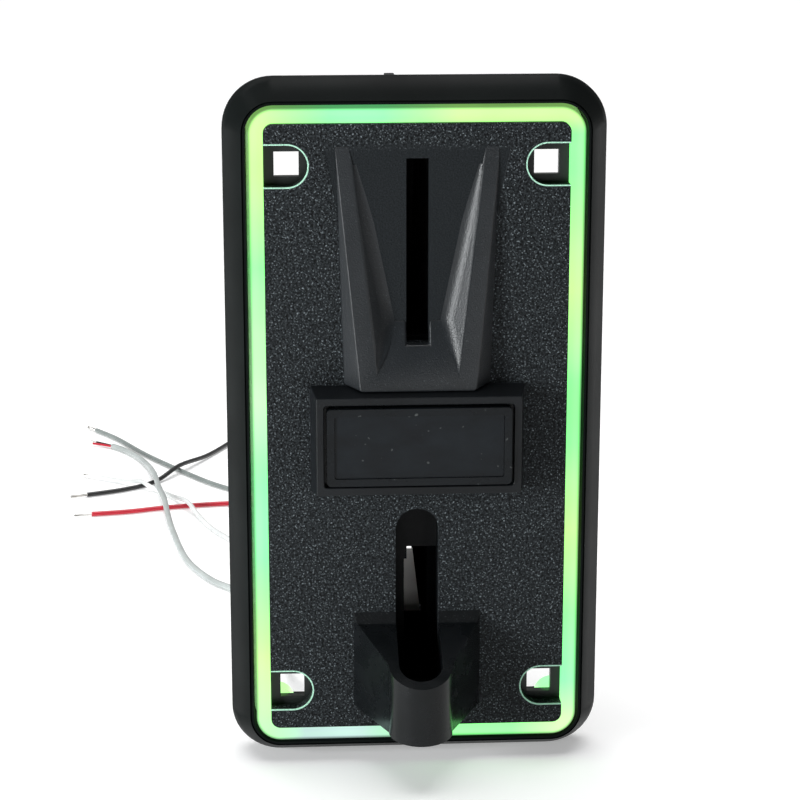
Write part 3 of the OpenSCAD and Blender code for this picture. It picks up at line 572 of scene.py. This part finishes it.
# Width in millimetres of the rounding on the edges of each node that gets one.
ROUNDED = {
    "bezel_frame": 0.16, "face_plate": 0.2, "coin_entry": 0.8, "button_frame": 0.25,
    "return_cup": 0.18,
    "reject_button": 0.25, "button_panel": 0.15, "light_guide": 0.12, "chassis": 0.2,
    "return_chute": 0.2, "gate_plate": 0.2, "board_cover": 0.3, "back_frame": 0.15,
    "solenoid_frame": 0.15, "exit_sensor": 0.2, "led_connector": 0.15, "wire_header": 0.15,
    "board_chips": 0.12, "digit_display": 0.15, "key_bodies": 0.12, "switch_bodies": 0.12,
    "setup_key_1": 0.15, "setup_key_2": 0.15, "setup_key_3": 0.15, "mode_knob_1": 0.12,
    "mode_knob_2": 0.12, "capacitors": 0.3, "diverter_flap": 0.15, "flap_crank": 0.12,
    "plunger": 0.15, "ring_leds": 0.1, "chassis_coils": 0.2, "gate_coils": 0.2,
}


def dress_node(name):
    obj = nodes[name]
    paint(obj, NODE_MATERIALS[name])
    smooth = obj.modifiers.new("smooth", "NODES")
    smooth.node_group = SMOOTHING
    if name in ROUNDED:
        rounding = obj.modifiers.new("rounding", "BEVEL")
        rounding.width = ROUNDED[name] * MM
        rounding.segments = 3
        rounding.limit_method = "ANGLE"
        rounding.angle_limit = ROUND_ABOVE
        rounding.use_clamp_overlap = True
        rounding.harden_normals = True


for node_name in nodes:
    dress_node(node_name)


# ---- Mesh helpers ----

def at(x, depth, z):
    """A place given in millimetres, with its depth behind the front of the face plate."""
    return Vector((x * MM, PLATE_Y + depth * MM, z * MM))


def around(count):
    """Angles evenly spaced round a circle."""
    return [2 * math.pi * k / count for k in range(count)]


def on_circle(radius, angle, side, up):
    return radius * (math.cos(angle) * side + math.sin(angle) * up)


def tube_faces(rings, sides):
    """Walls and two end caps over rings of vertices that follow one another."""
    faces = []
    for i in range(rings - 1):
        for k in range(sides):
            a, b = i * sides + k, i * sides + (k + 1) % sides
            faces.append((a, b, b + sides, a + sides))
    last = (rings - 1) * sides
    return faces + [tuple(reversed(range(sides))), tuple(range(last, last + sides))]


BOX_FACES = [
    (0, 1, 3, 2), (4, 6, 7, 5), (0, 4, 5, 1), (2, 3, 7, 6), (0, 2, 6, 4), (1, 5, 7, 3),
]


class Shape:
    """Collects vertices and faces of one piece."""

    def __init__(self):
        self.verts = []
        self.faces = []

    def add(self, verts, faces):
        base = len(self.verts)
        self.verts.extend(verts)
        self.faces.extend([tuple(base + i for i in face) for face in faces])

    def block(self, x, depth, z):
        """Box between limits in millimetres."""
        self.add([at(a, b, c) for a in x for b in depth for c in z], BOX_FACES)

    def sweep(self, path, radius, sides=8):
        """Round bar along a path of points in metres, closed at both ends."""
        rings = []
        side = None
        for i, point in enumerate(path):
            ahead = path[min(i + 1, len(path) - 1)] - path[max(i - 1, 0)]
            ahead.normalize()
            if side is None:
                side = ahead.orthogonal().normalized()
            side = (side - ahead * side.dot(ahead)).normalized()
            up = ahead.cross(side)
            rings.extend(point + on_circle(radius, a, side, up) for a in around(sides))
        self.add(rings, tube_faces(len(path), sides))

    def prism(self, outline, push):
        """Outline of points in metres pushed along a vector."""
        far = [point + push for point in outline]
        self.add(list(outline) + far, tube_faces(2, len(outline)))

    def piece(self, name, material, body="acceptor", round_by=0.0, smooth=True):
        """Makes the piece, with its edges rounded by that many millimetres."""
        data = bpy.data.meshes.new(name)
        data.from_pydata(self.verts, [], self.faces)
        data.update()
        obj = bpy.data.objects.new(name, data)
        bpy.context.scene.collection.objects.link(obj)
        data.materials.append(materials[material])
        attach(obj, body)
        mesh = bmesh.new()
        mesh.from_mesh(data)
        bmesh.ops.recalc_face_normals(mesh, faces=mesh.faces)
        if round_by:
            sharp = [e for e in mesh.edges if e.is_manifold and e.calc_face_angle(0) > ROUND_ABOVE]
            bmesh.ops.bevel(
                mesh, geom=sharp, offset=round_by * MM, segments=2, profile=0.5,
                affect="EDGES", clamp_overlap=True
            )
        mesh.to_mesh(data)
        mesh.free()
        for polygon in data.polygons:
            polygon.use_smooth = smooth
        data.set_sharp_from_angle(angle=math.radians(40))
        return obj


# ---- Wires ----

BLACK_ROUTE = [
    (-20.5, 37.5, 61.5), (-20.3, 47, 60.8), (-19.5, 59, 55), (-18, 71, 43), (-16, 82, 26),
    (-13.5, 93, 11), (-11, 106, 2.6), (-9, 121, 0.8), (-7, 140, 0.7), (-6, 165, 0.7),
    (-7, 190, 0.7), (-9, 212, 0.7), (-14, 228, 0.7), (-21, 234, 0.7), (-28, 230, 0.7),
    (-34, 219, 0.7), (-39, 206, 0.7), (-45, 193, 0.9), (-52, 180, 2.1), (-58, 170, 0.8),
    (-66, 163, 0.7), (-80, 157, 0.7),
]
RED_ROUTE = [
    (-20.5, 37.5, 59), (-20.5, 46, 58.4), (-20.2, 56, 52), (-19.6, 66, 40), (-18.8, 75, 24),
    (-18, 84, 10), (-17, 95, 1.6), (-15, 108, 0.7), (-13, 122, 0.7), (-15, 136, 0.7),
    (-21, 146, 0.7), (-28, 148.5, 0.7), (-35, 149, 0.7), (-45, 148, 0.7), (-55, 146, 0.7),
    (-65, 143, 0.7), (-78, 141, 0.7),
]
GREY_ROUTE = [
    (-20.5, 37.5, 56.5), (-20.6, 46, 55.9), (-20.9, 55, 50), (-21, 63, 38), (-21, 71, 22),
    (-21, 79, 8), (-21, 89, 1.6), (-21, 101, 0.8), (-20.5, 115, 0.7), (-21, 128, 0.7),
    (-23.5, 139, 1), (-27, 148, 2.2), (-31, 154.5, 1), (-35, 158.5, 0.7), (-43, 167, 0.7),
    (-52, 180, 0.7), (-62, 196, 0.7), (-71, 213, 0.7), (-80, 226, 0.7),
]
WHITE_ROUTE = [
    (-20.5, 37.5, 54), (-20.7, 45, 53.3), (-21.2, 53, 48), (-22, 60, 36), (-23, 67, 20),
    (-24, 75, 7), (-26, 84, 1.4), (-29, 96, 0.8), (-35, 113, 0.7), (-42, 127, 0.7),
    (-46, 138, 1), (-49, 146, 2.2), (-53, 155, 0.9), (-57, 161, 0.7), (-60, 163.5, 1.6),
    (-62, 165.5, 2.1), (-66, 169, 1), (-70, 172, 0.7), (-78, 177, 0.7),
]
LEAD_ROUTE = [
    (-21, -4.7, 36), (-21, -1, 35.6), (-21.2, 4, 32), (-22, 9, 24), (-23, 15, 13),
    (-24, 23, 4.6), (-25, 33, 1.4), (-26, 45, 0.9), (-27, 58, 0.8), (-30, 70, 0.8),
    (-36, 80, 0.8), (-42, 88, 0.8), (-48, 103, 0.8), (-52, 125, 0.9), (-54, 139, 1.8),
    (-55, 148, 2.4), (-57, 160, 2.3), (-58.5, 171, 2.3), (-61, 184, 1.2), (-65, 195, 0.9),
    (-71, 204, 0.8), (-79, 210, 0.8),
]
WIRE_D = 1.2 * MM
LEAD_D = 1.5 * MM


def smooth_route(route, steps=6):
    """The same smooth curve through a route's points as the CAD tubes follow, in metres."""
    points = [Vector(p) * MM for p in route]
    out = []
    for i in range(len(points) - 1):
        a = points[max(i - 1, 0)]
        b = points[i]
        c = points[i + 1]
        d = points[min(i + 2, len(points) - 1)]
        for step in range(steps):
            t = step / steps
            out.append(0.5 * (2 * b + (c - a) * t + (2 * a - 5 * b + 4 * c - d) * t ** 2
                              + (3 * b - a - 3 * c + d) * t ** 3))
    out.append(points[-1])
    return out


def path_length(path):
    return sum((b - a).length for a, b in zip(path, path[1:]))


def split_path(path, tail):
    """The path in two: all but the last stretch of that length, and that stretch."""
    left = tail
    for i in range(len(path) - 1, 0, -1):
        step = (path[i] - path[i - 1]).length
        if step >= left:
            cut = path[i].lerp(path[i - 1], left / step)
            return path[:i] + [cut], [cut] + path[i:]
        left -= step
    return path, path[-2:]


def resample(path, count):
    """Points evenly spaced along a path."""
    total = path_length(path)
    out = [path[0].copy()]
    i = 0
    gone = 0.0
    for k in range(1, count):
        target = total * k / (count - 1)
        while i < len(path) - 2 and gone + (path[i + 1] - path[i]).length < target:
            gone += (path[i + 1] - path[i]).length
            i += 1
        step = (path[i + 1] - path[i]).length
        out.append(path[i].lerp(path[i + 1], min(1, (target - gone) / step)))
    return out


def add_curve(name, path, diameter, material):
    data = bpy.data.curves.new(name, "CURVE")
    data.dimensions = "3D"
    data.bevel_depth = diameter / 2
    data.bevel_resolution = 3
    data.use_fill_caps = True
    spline = data.splines.new("POLY")
    spline.points.add(len(path) - 1)
    for point, place in zip(spline.points, path):
        point.co = (*place, 1)
    spline.use_smooth = True
    data.materials.append(materials[material])
    obj = bpy.data.objects.new(name, data)
    bpy.context.scene.collection.objects.link(obj)
    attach(obj, "acceptor")
    return obj


def strand_bundle(path, radius, strands, strand_r, turns):
    """Strands twisted round one in the middle, as the bared end of a stranded wire."""
    shape = Shape()
    points = resample(path, 16)
    ahead = (points[-1] - points[0]).normalized()
    side = ahead.orthogonal().normalized()
    up = ahead.cross(side)
    for k in range(strands):
        line = []
        for i, point in enumerate(points):
            angle = 2 * math.pi * (k / strands + turns * i / (len(points) - 1))
            line.append(point + on_circle(radius, angle, side, up))
        shape.sweep(line, strand_r, 6)
    shape.sweep(points, strand_r, 6)
    return shape


def wire(node, route):
    """One stranded wire with its end stripped and tinned."""
    path = smooth_route(route)
    covered, bared = split_path(path, 4.5 * MM)
    run = add_curve(node + "_run", covered, WIRE_D, node)
    tip_path = [bared[0] - (bared[1] - bared[0]).normalized() * 0.5 * MM] + bared
    tip = strand_bundle(tip_path, 0.26 * MM, 6, 0.14 * MM, 1.4).piece(node + "_tip", "tin")
    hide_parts(node)


def ring_lead():
    """The light ring's two-core lead, with its two cores bared at the far end."""
    path = smooth_route(LEAD_ROUTE)
    covered, bared = split_path(path, 9 * MM)
    run = add_curve("light_lead_run", covered, LEAD_D, "light_lead")
    ahead = (bared[-1] - bared[0]).normalized()
    aside = ahead.cross(Vector((0, 0, 1))).normalized()
    for side, colour in ((-1, "wire_red"), (1, "wire_black")):
        line = [
            point + aside * side * (0.33 + 0.9 * (i / 11) ** 2) * MM
            for i, point in enumerate(resample(bared, 12))
        ]
        core, tip = split_path(line, 2.5 * MM)
        name = "lead_core_" + ("a" if side < 0 else "b")
        shape = Shape()
        shape.sweep([core[0] - ahead * 0.8 * MM] + core, 0.31 * MM, 8)
        shape.piece(name, colour)
        strand_bundle(tip, 0.12 * MM, 4, 0.07 * MM, 1.0).piece(name + "_tip", "tin")
    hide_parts("light_lead")


wire("wire_black", BLACK_ROUTE)
wire("wire_red", RED_ROUTE)
wire("wire_grey", GREY_ROUTE)
wire("wire_white", WHITE_ROUTE)
ring_lead()


# ---- Springs ----

def coil_path(start, end, radius, turns, dead=0.8, per_turn=20):
    """Helix between two points, with close-wound turns at both ends."""
    axis = end - start
    along = axis.normalized()
    side = along.orthogonal().normalized()
    up = along.cross(side)
    count = int((turns + 2 * dead) * per_turn)
    out = []
    for i in range(count + 1):
        turn = (turns + 2 * dead) * i / count
        rise = min(max((turn - dead) / turns, 0), 1)
        angle = 2 * math.pi * turn
        creep = along * 0.02 * MM * (turn if turn < dead else 0)
        out.append(start + axis * rise + creep + on_circle(radius, angle, side, up))
    return out


def button_springs():
    shape = Shape()
    z = 65.65
    for x in (-13, 13):
        shape.sweep(coil_path(at(x, -4.75, z), at(x, -0.25, z), 1.8 * MM, 3.6), 0.2 * MM)
    obj = shape.piece("button_spring_coils", "spring")
    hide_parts("button_springs")
    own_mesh(obj)


def plunger_spring():
    shape = Shape()
    shape.sweep(coil_path(at(-10.2, 18.1, 24.7), at(-10.2, 18.1, 30.7), 2.5 * MM, 4.5), 0.25 * MM)
    obj = shape.piece("plunger_spring_coil", "spring")
    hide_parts("plunger_spring")
    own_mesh(obj)


def gate_spring():
    """Torsion spring: a close coil round the pin, with a leg against the chassis."""
    shape = Shape()
    coil = coil_path(at(6.2, 51, 104.9), at(6.2, 51, 113.5), 1.7 * MM, 10, dead=0.0)
    leg = [at(7.9, 51.4, 113.5), at(7.9, 52.4, 113.5), at(7.8, 53.3, 113.4)]
    shape.sweep(coil, 0.28 * MM)
    shape.sweep(leg, 0.28 * MM)
    obj = shape.piece("gate_spring_coil", "spring")
    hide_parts("gate_spring")


button_springs()
plunger_spring()
gate_spring()


# ---- Control board details ----

# All in millimetres: the board's inner side, then places along its depth and height.
BOARD_IN = -16.0
WIRE_ROWS = (54, 56.5, 59, 61.5)
KEY_DEPTHS = (34, 40.5, 47)


def chip_legs():
    """Gull-wing legs: out of the chip's side, down, and a foot on the board."""
    shape = Shape()
    top = BOARD_IN + 0.85
    foot = BOARD_IN + 0.02

    def leg(depth, z, out_depth, out_z):
        half = 0.2
        thick = 0.1
        steps = [(-0.2, top), (0.35, top), (0.65, foot + thick), (1.15, foot + thick)]
        wide_depth, wide_z = (half, 0) if out_z else (0, half)
        for (near, high), (far, low) in zip(steps, steps[1:]):
            corners = (
                (near, high - thick), (far, low - thick), (far, low + thick), (near, high + thick)
            )
            outline = [
                at(level, depth + out_depth * reach - wide_depth, z + out_z * reach - wide_z)
                for reach, level in corners
            ]
            push = Vector((0, 2 * wide_depth * MM, 2 * wide_z * MM))
            shape.prism(outline, push)

    for k in range(8):
        offset = -3.5 + k
        leg(41 + offset, 85, 0, 1)
        leg(41 + offset, 75, 0, -1)
        leg(46, 80 + offset, 1, 0)
        leg(36, 80 + offset, -1, 0)
    for low in (55, 63):
        for k in range(4):
            leg(38.6 + 1.27 * k, low + 4, 0, 1)
            leg(38.6 + 1.27 * k, low, 0, -1)
    shape.piece("chip_legs", "tin", smooth=False)


def solder_joint(shape, depth, z, base=0.55):
    """Cone of solder round a lead, with a foot of that radius in millimetres."""
    height = 0.6
    sides = 10
    rings = [(0.0, base), (0.15, base * 0.8), (0.4, base * 0.42), (1.0, base * 0.3)]
    verts = [
        at(BOARD_IN + rise * height, depth + radius * math.cos(a), z + radius * math.sin(a))
        for rise, radius in rings for a in around(sides)
    ]
    shape.add(verts, tube_faces(len(rings), sides))


def solder_joints():
    """Joints on the board's inner side under each through-hole part."""
    shape = Shape()
    for z in WIRE_ROWS:
        solder_joint(shape, 46, z)
    for z in (52, 60):
        for depth in (39.2, 41.2):
            solder_joint(shape, depth, z - 0.9, 0.45)
    for z in (83.5, 92.5):
        for k in range(5):
            solder_joint(shape, 33.6 + 3.36 * k, z, 0.4)
    for depth in KEY_DEPTHS:
        # The feet of the large chip's legs are where the middle key's upper joints would be.
        for side in (-2.2, 2.2):
            for z in (70.7,) if depth == KEY_DEPTHS[1] else (70.7, 73.6):
                solder_joint(shape, depth + side, z, 0.4)
    for z in (52, 61):
        for step in (-2.5, 0, 2.5):
            solder_joint(shape, 33, z + step, 0.42)
    shape.piece("solder_joints", "solder")


def surface_parts():
    """Chip resistors on the inner side, with their plated ends."""
    bodies = Shape()
    ends = Shape()
    spots = [
        (31.5, 80), (31.5, 83), (31.5, 86), (34, 90), (38, 90), (42, 90), (46, 90),
        (49.5, 66), (49.5, 69), (34.5, 66),
    ]
    for depth, z in spots:
        long_way = (depth - 0.62, depth + 0.62)
        bodies.block((BOARD_IN, BOARD_IN + 0.5), long_way, (z - 0.55, z + 0.55))
        for side in (-1, 1):
            edges = sorted((depth + side * 0.55, depth + side * 0.95))
            ends.block((BOARD_IN, BOARD_IN + 0.54), edges, (z - 0.57, z + 0.57))
    bodies.piece("chip_resistors", "resistor", round_by=0.05)
    ends.piece("resistor_ends", "tin", round_by=0.08)


def display_segments():
    """Seven segments in each of the display's three windows."""
    shape = Shape()
    push = Vector((-0.1 * MM, 0, 0))
    face = -21.49

    def bar(depth, z, length, upright):
        half = length / 2
        tip = 0.22
        flat = [
            (-half, 0), (-half + tip, tip), (half - tip, tip),
            (half, 0), (half - tip, -tip), (-half + tip, -tip),
        ]
        if upright:
            flat = [(b, a) for a, b in flat]
        shape.prism([at(face, depth + a, z + b) for a, b in flat], push)

    for left in (34, 39.2, 44.4):
        centre = left + 1.4
        for z in (85.1, 88, 90.9):
            bar(centre, z, 1.5, False)
        for side in (-0.85, 0.85):
            for z in (86.55, 89.45):
                bar(centre + side, z, 2.6, True)
    shape.piece("display_segments", "segments", smooth=False)


def key_rivets():
    """Rivets at the corners of the setup keys' bodies."""
    shape = Shape()
    key_z = 73
    inward = Vector((0.1 * MM, 0, 0))
    outward = Vector((0.14 * MM, 0, 0))
    for depth in KEY_DEPTHS:
        for aside in (-2.2, 2.2):
            for rise in (-2.3, 2.3):
                middle = at(-21.1, depth + aside, key_z + rise)
                shape.sweep([middle + inward, middle, middle - outward], 0.3 * MM, 10)
    shape.piece("key_rivets", "solder")


def plug_housing():
    """Housing of the wire plug: a collar, ribs round each wire, and the contacts' windows."""
    housing = Shape()
    housing.block((-22.5, -18.5), (47, 55.9), (52.3, 63.2))
    housing.block((-22.65, -18.35), (52.3, 55.4), (52.15, 63.35))
    housing.block((-21.6, -19.4), (55, 56.4), (52.6, 62.9))
    for z in WIRE_ROWS:
        for x in (-21.55, -19.95):
            housing.block((x, x + 0.5), (55.5, 57.3), (z - 0.95, z + 0.95))
    for z in (55.25, 57.75, 60.25):
        housing.block((-22.3, -18.7), (55.5, 57.2), (z - 0.25, z + 0.25))
    obj = housing.piece("plug_housing", "nylon", round_by=0.12)
    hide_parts("harness_plug")
    contacts = Shape()
    for z in WIRE_ROWS:
        contacts.block((-22.56, -22.4), (48.6, 51.2), (z - 0.5, z + 0.5))
    contacts.piece("plug_contacts", "tin", round_by=0.05)


chip_legs()
solder_joints()
surface_parts()
display_segments()
key_rivets()
plug_housing()


# ---- Rounded feet of the flared entry's walls ----

# The entry's hollow, in millimetres: its half width at the plate's front and at its top, how that
# narrows with depth and widens with height, and the ramp below the slot.
SCOOP_HALF = 12.35
SCOOP_NARROWS = 1.065
SCOOP_WIDENS = 0.2077
RAMP_Z = 88.5
RAMP_RISE = 2.466
# Height of the walls' feet, and how far the walls stand out there.
WALL_FOOT_Z = 75.6
WALL_OUT = 4.0
FILLET = 1.3


def scoop_fillets():
    """Hollow rounding where each wall of the entry meets the plate and the ramp below the slot."""
    shape = Shape()
    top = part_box("coin_entry")[1].z / MM
    sunk = 0.02

    def half_width(depth, z):
        return SCOOP_HALF - SCOOP_NARROWS * depth + SCOOP_WIDENS * (z - top)

    on_ramp = [-3.4 + 0.85 * k for k in range(5)]
    stations = [(depth, RAMP_Z + RAMP_RISE * depth) for depth in on_ramp]
    stations += [(0, RAMP_Z + (top - RAMP_Z) * k / 9) for k in range(1, 9)]
    for side in (-1, 1):
        verts = []
        for depth, z in stations:
            wall = WALL_OUT * (top - z) / (top - WALL_FOOT_Z)
            size = min(FILLET, 1.1 * (wall + depth))
            corner = Vector((half_width(depth, z), depth, z))
            start = corner - Vector((size, 0, 0))
            end = Vector((half_width(depth - 0.8 * size, z), depth - 0.8 * size, z))
            for k in range(7):
                t = k / 6
                x, deep, high = (1 - t) ** 2 * start + 2 * t * (1 - t) * corner + t * t * end
                verts.append(at(side * x, deep - sunk, high))
            verts.append(at(side * (corner.x + sunk), depth + sunk, z))
        shape.add(verts, tube_faces(len(stations), 8))
    shape.piece("scoop_fillets", "entry")


scoop_fillets()


# ---- Sensing coil windings ----

def coil_windings():
    """Copper turns in the open side groove of each sensing coil's core."""
    turn_r = 5.45
    pitch = 0.62
    for body, name, groove in (("acceptor", "chassis", -9.4), ("gate", "gate", 4.6)):
        shape = Shape()
        for depth, z in ((14, 97), (27, 93)):
            for k in range(5):
                x = groove + 1.0 + k * pitch
                ring = [
                    at(x, depth + turn_r * math.cos(a), z + turn_r * math.sin(a))
                    for a in around(40)
                ]
                ring.append(ring[0].copy())
                shape.sweep(ring, 0.27 * MM, 6)
        shape.piece(name + "_coil_turns", "winding", body)


coil_windings()


# ---- Floor, world and lights ----

def pale_floor():
    """Wide floor just under the part, lit a little from within so that it stays nearly white."""
    made = Material("pale_floor", (0.82, 0.82, 0.82), 0.75, specular=0.2)
    made.vary(0.015, 8)
    made.shader.inputs["Emission Color"].default_value = (1, 1, 1, 1)
    made.shader.inputs["Emission Strength"].default_value = 0.3
    made.bump(made.noise(600, 2.0), 0.02 * MM)
    data = bpy.data.meshes.new("floor")
    half = 6.0
    corners = [(-half, -half, 0), (half, -half, 0), (half, half, 0), (-half, half, 0)]
    data.from_pydata(corners, [], [(0, 1, 2, 3)])
    data.materials.append(made.material)
    floor = bpy.data.objects.new("floor", data)
    floor.location.z = -0.02 * MM
    bpy.context.scene.collection.objects.link(floor)


def studio_world():
    """White behind the object for the camera, and a dim room in front of it for reflections."""
    world = bpy.data.worlds.new("studio")
    world.use_nodes = True
    tree = world.node_tree
    seen = tree.nodes["Background"]
    seen.inputs["Color"].default_value = (1, 1, 1, 1)
    seen.inputs["Strength"].default_value = 1.0
    room = tree.nodes.new("ShaderNodeBackground")
    place = tree.nodes.new("ShaderNodeTexCoord")
    parts = tree.nodes.new("ShaderNodeSeparateXYZ")
    shade = tree.nodes.new("ShaderNodeMapRange")
    shade.interpolation_type = "SMOOTHSTEP"
    shade.inputs["From Min"].default_value = -0.6
    shade.inputs["From Max"].default_value = 0.9
    shade.inputs["To Min"].default_value = 0.05
    shade.inputs["To Max"].default_value = 0.5
    rays = tree.nodes.new("ShaderNodeLightPath")
    both = tree.nodes.new("ShaderNodeMixShader")
    tree.links.new(place.outputs["Generated"], parts.inputs[0])
    tree.links.new(parts.outputs[1], shade.inputs["Value"])
    tree.links.new(shade.outputs[0], room.inputs["Strength"])
    tree.links.new(rays.outputs["Is Camera Ray"], both.inputs[0])
    tree.links.new(room.outputs[0], both.inputs[1])
    tree.links.new(seen.outputs[0], both.inputs[2])
    tree.links.new(both.outputs[0], tree.nodes["World Output"].inputs[0])
    bpy.context.scene.world = world


def add_light(name, kind, place, target, energy, size=None, angle=None, colour=(1, 1, 1)):
    data = bpy.data.lights.new(name, kind)
    data.energy = energy
    data.color = colour
    if size:
        data.shape = "RECTANGLE"
        data.size = size[0]
        data.size_y = size[1]
    if angle:
        data.angle = math.radians(angle)
    light = bpy.data.objects.new(name, data)
    light.location = place
    light.rotation_euler = (Vector(target) - Vector(place)).to_track_quat("-Z", "Y").to_euler()
    bpy.context.scene.collection.objects.link(light)


pale_floor()
studio_world()
centre = (0, PLATE_Y, MID_Z)
add_light("overhead", "SUN", (0, 0.1, 1), (0, 0, 0), 2.2, angle=55)
add_light(
    "left_softbox", "AREA", (-0.46, -0.30, 0.12), centre, 3.5,
    size=(0.12, 0.24), colour=(0.96, 0.99, 1)
)
add_light("rim_strip", "AREA", (-0.12, 0.32, 0.42), (0, PLATE_Y, 0.12), 0.5, size=(0.5, 0.06))

scene = bpy.context.scene
scene.view_settings.view_transform = "Standard"
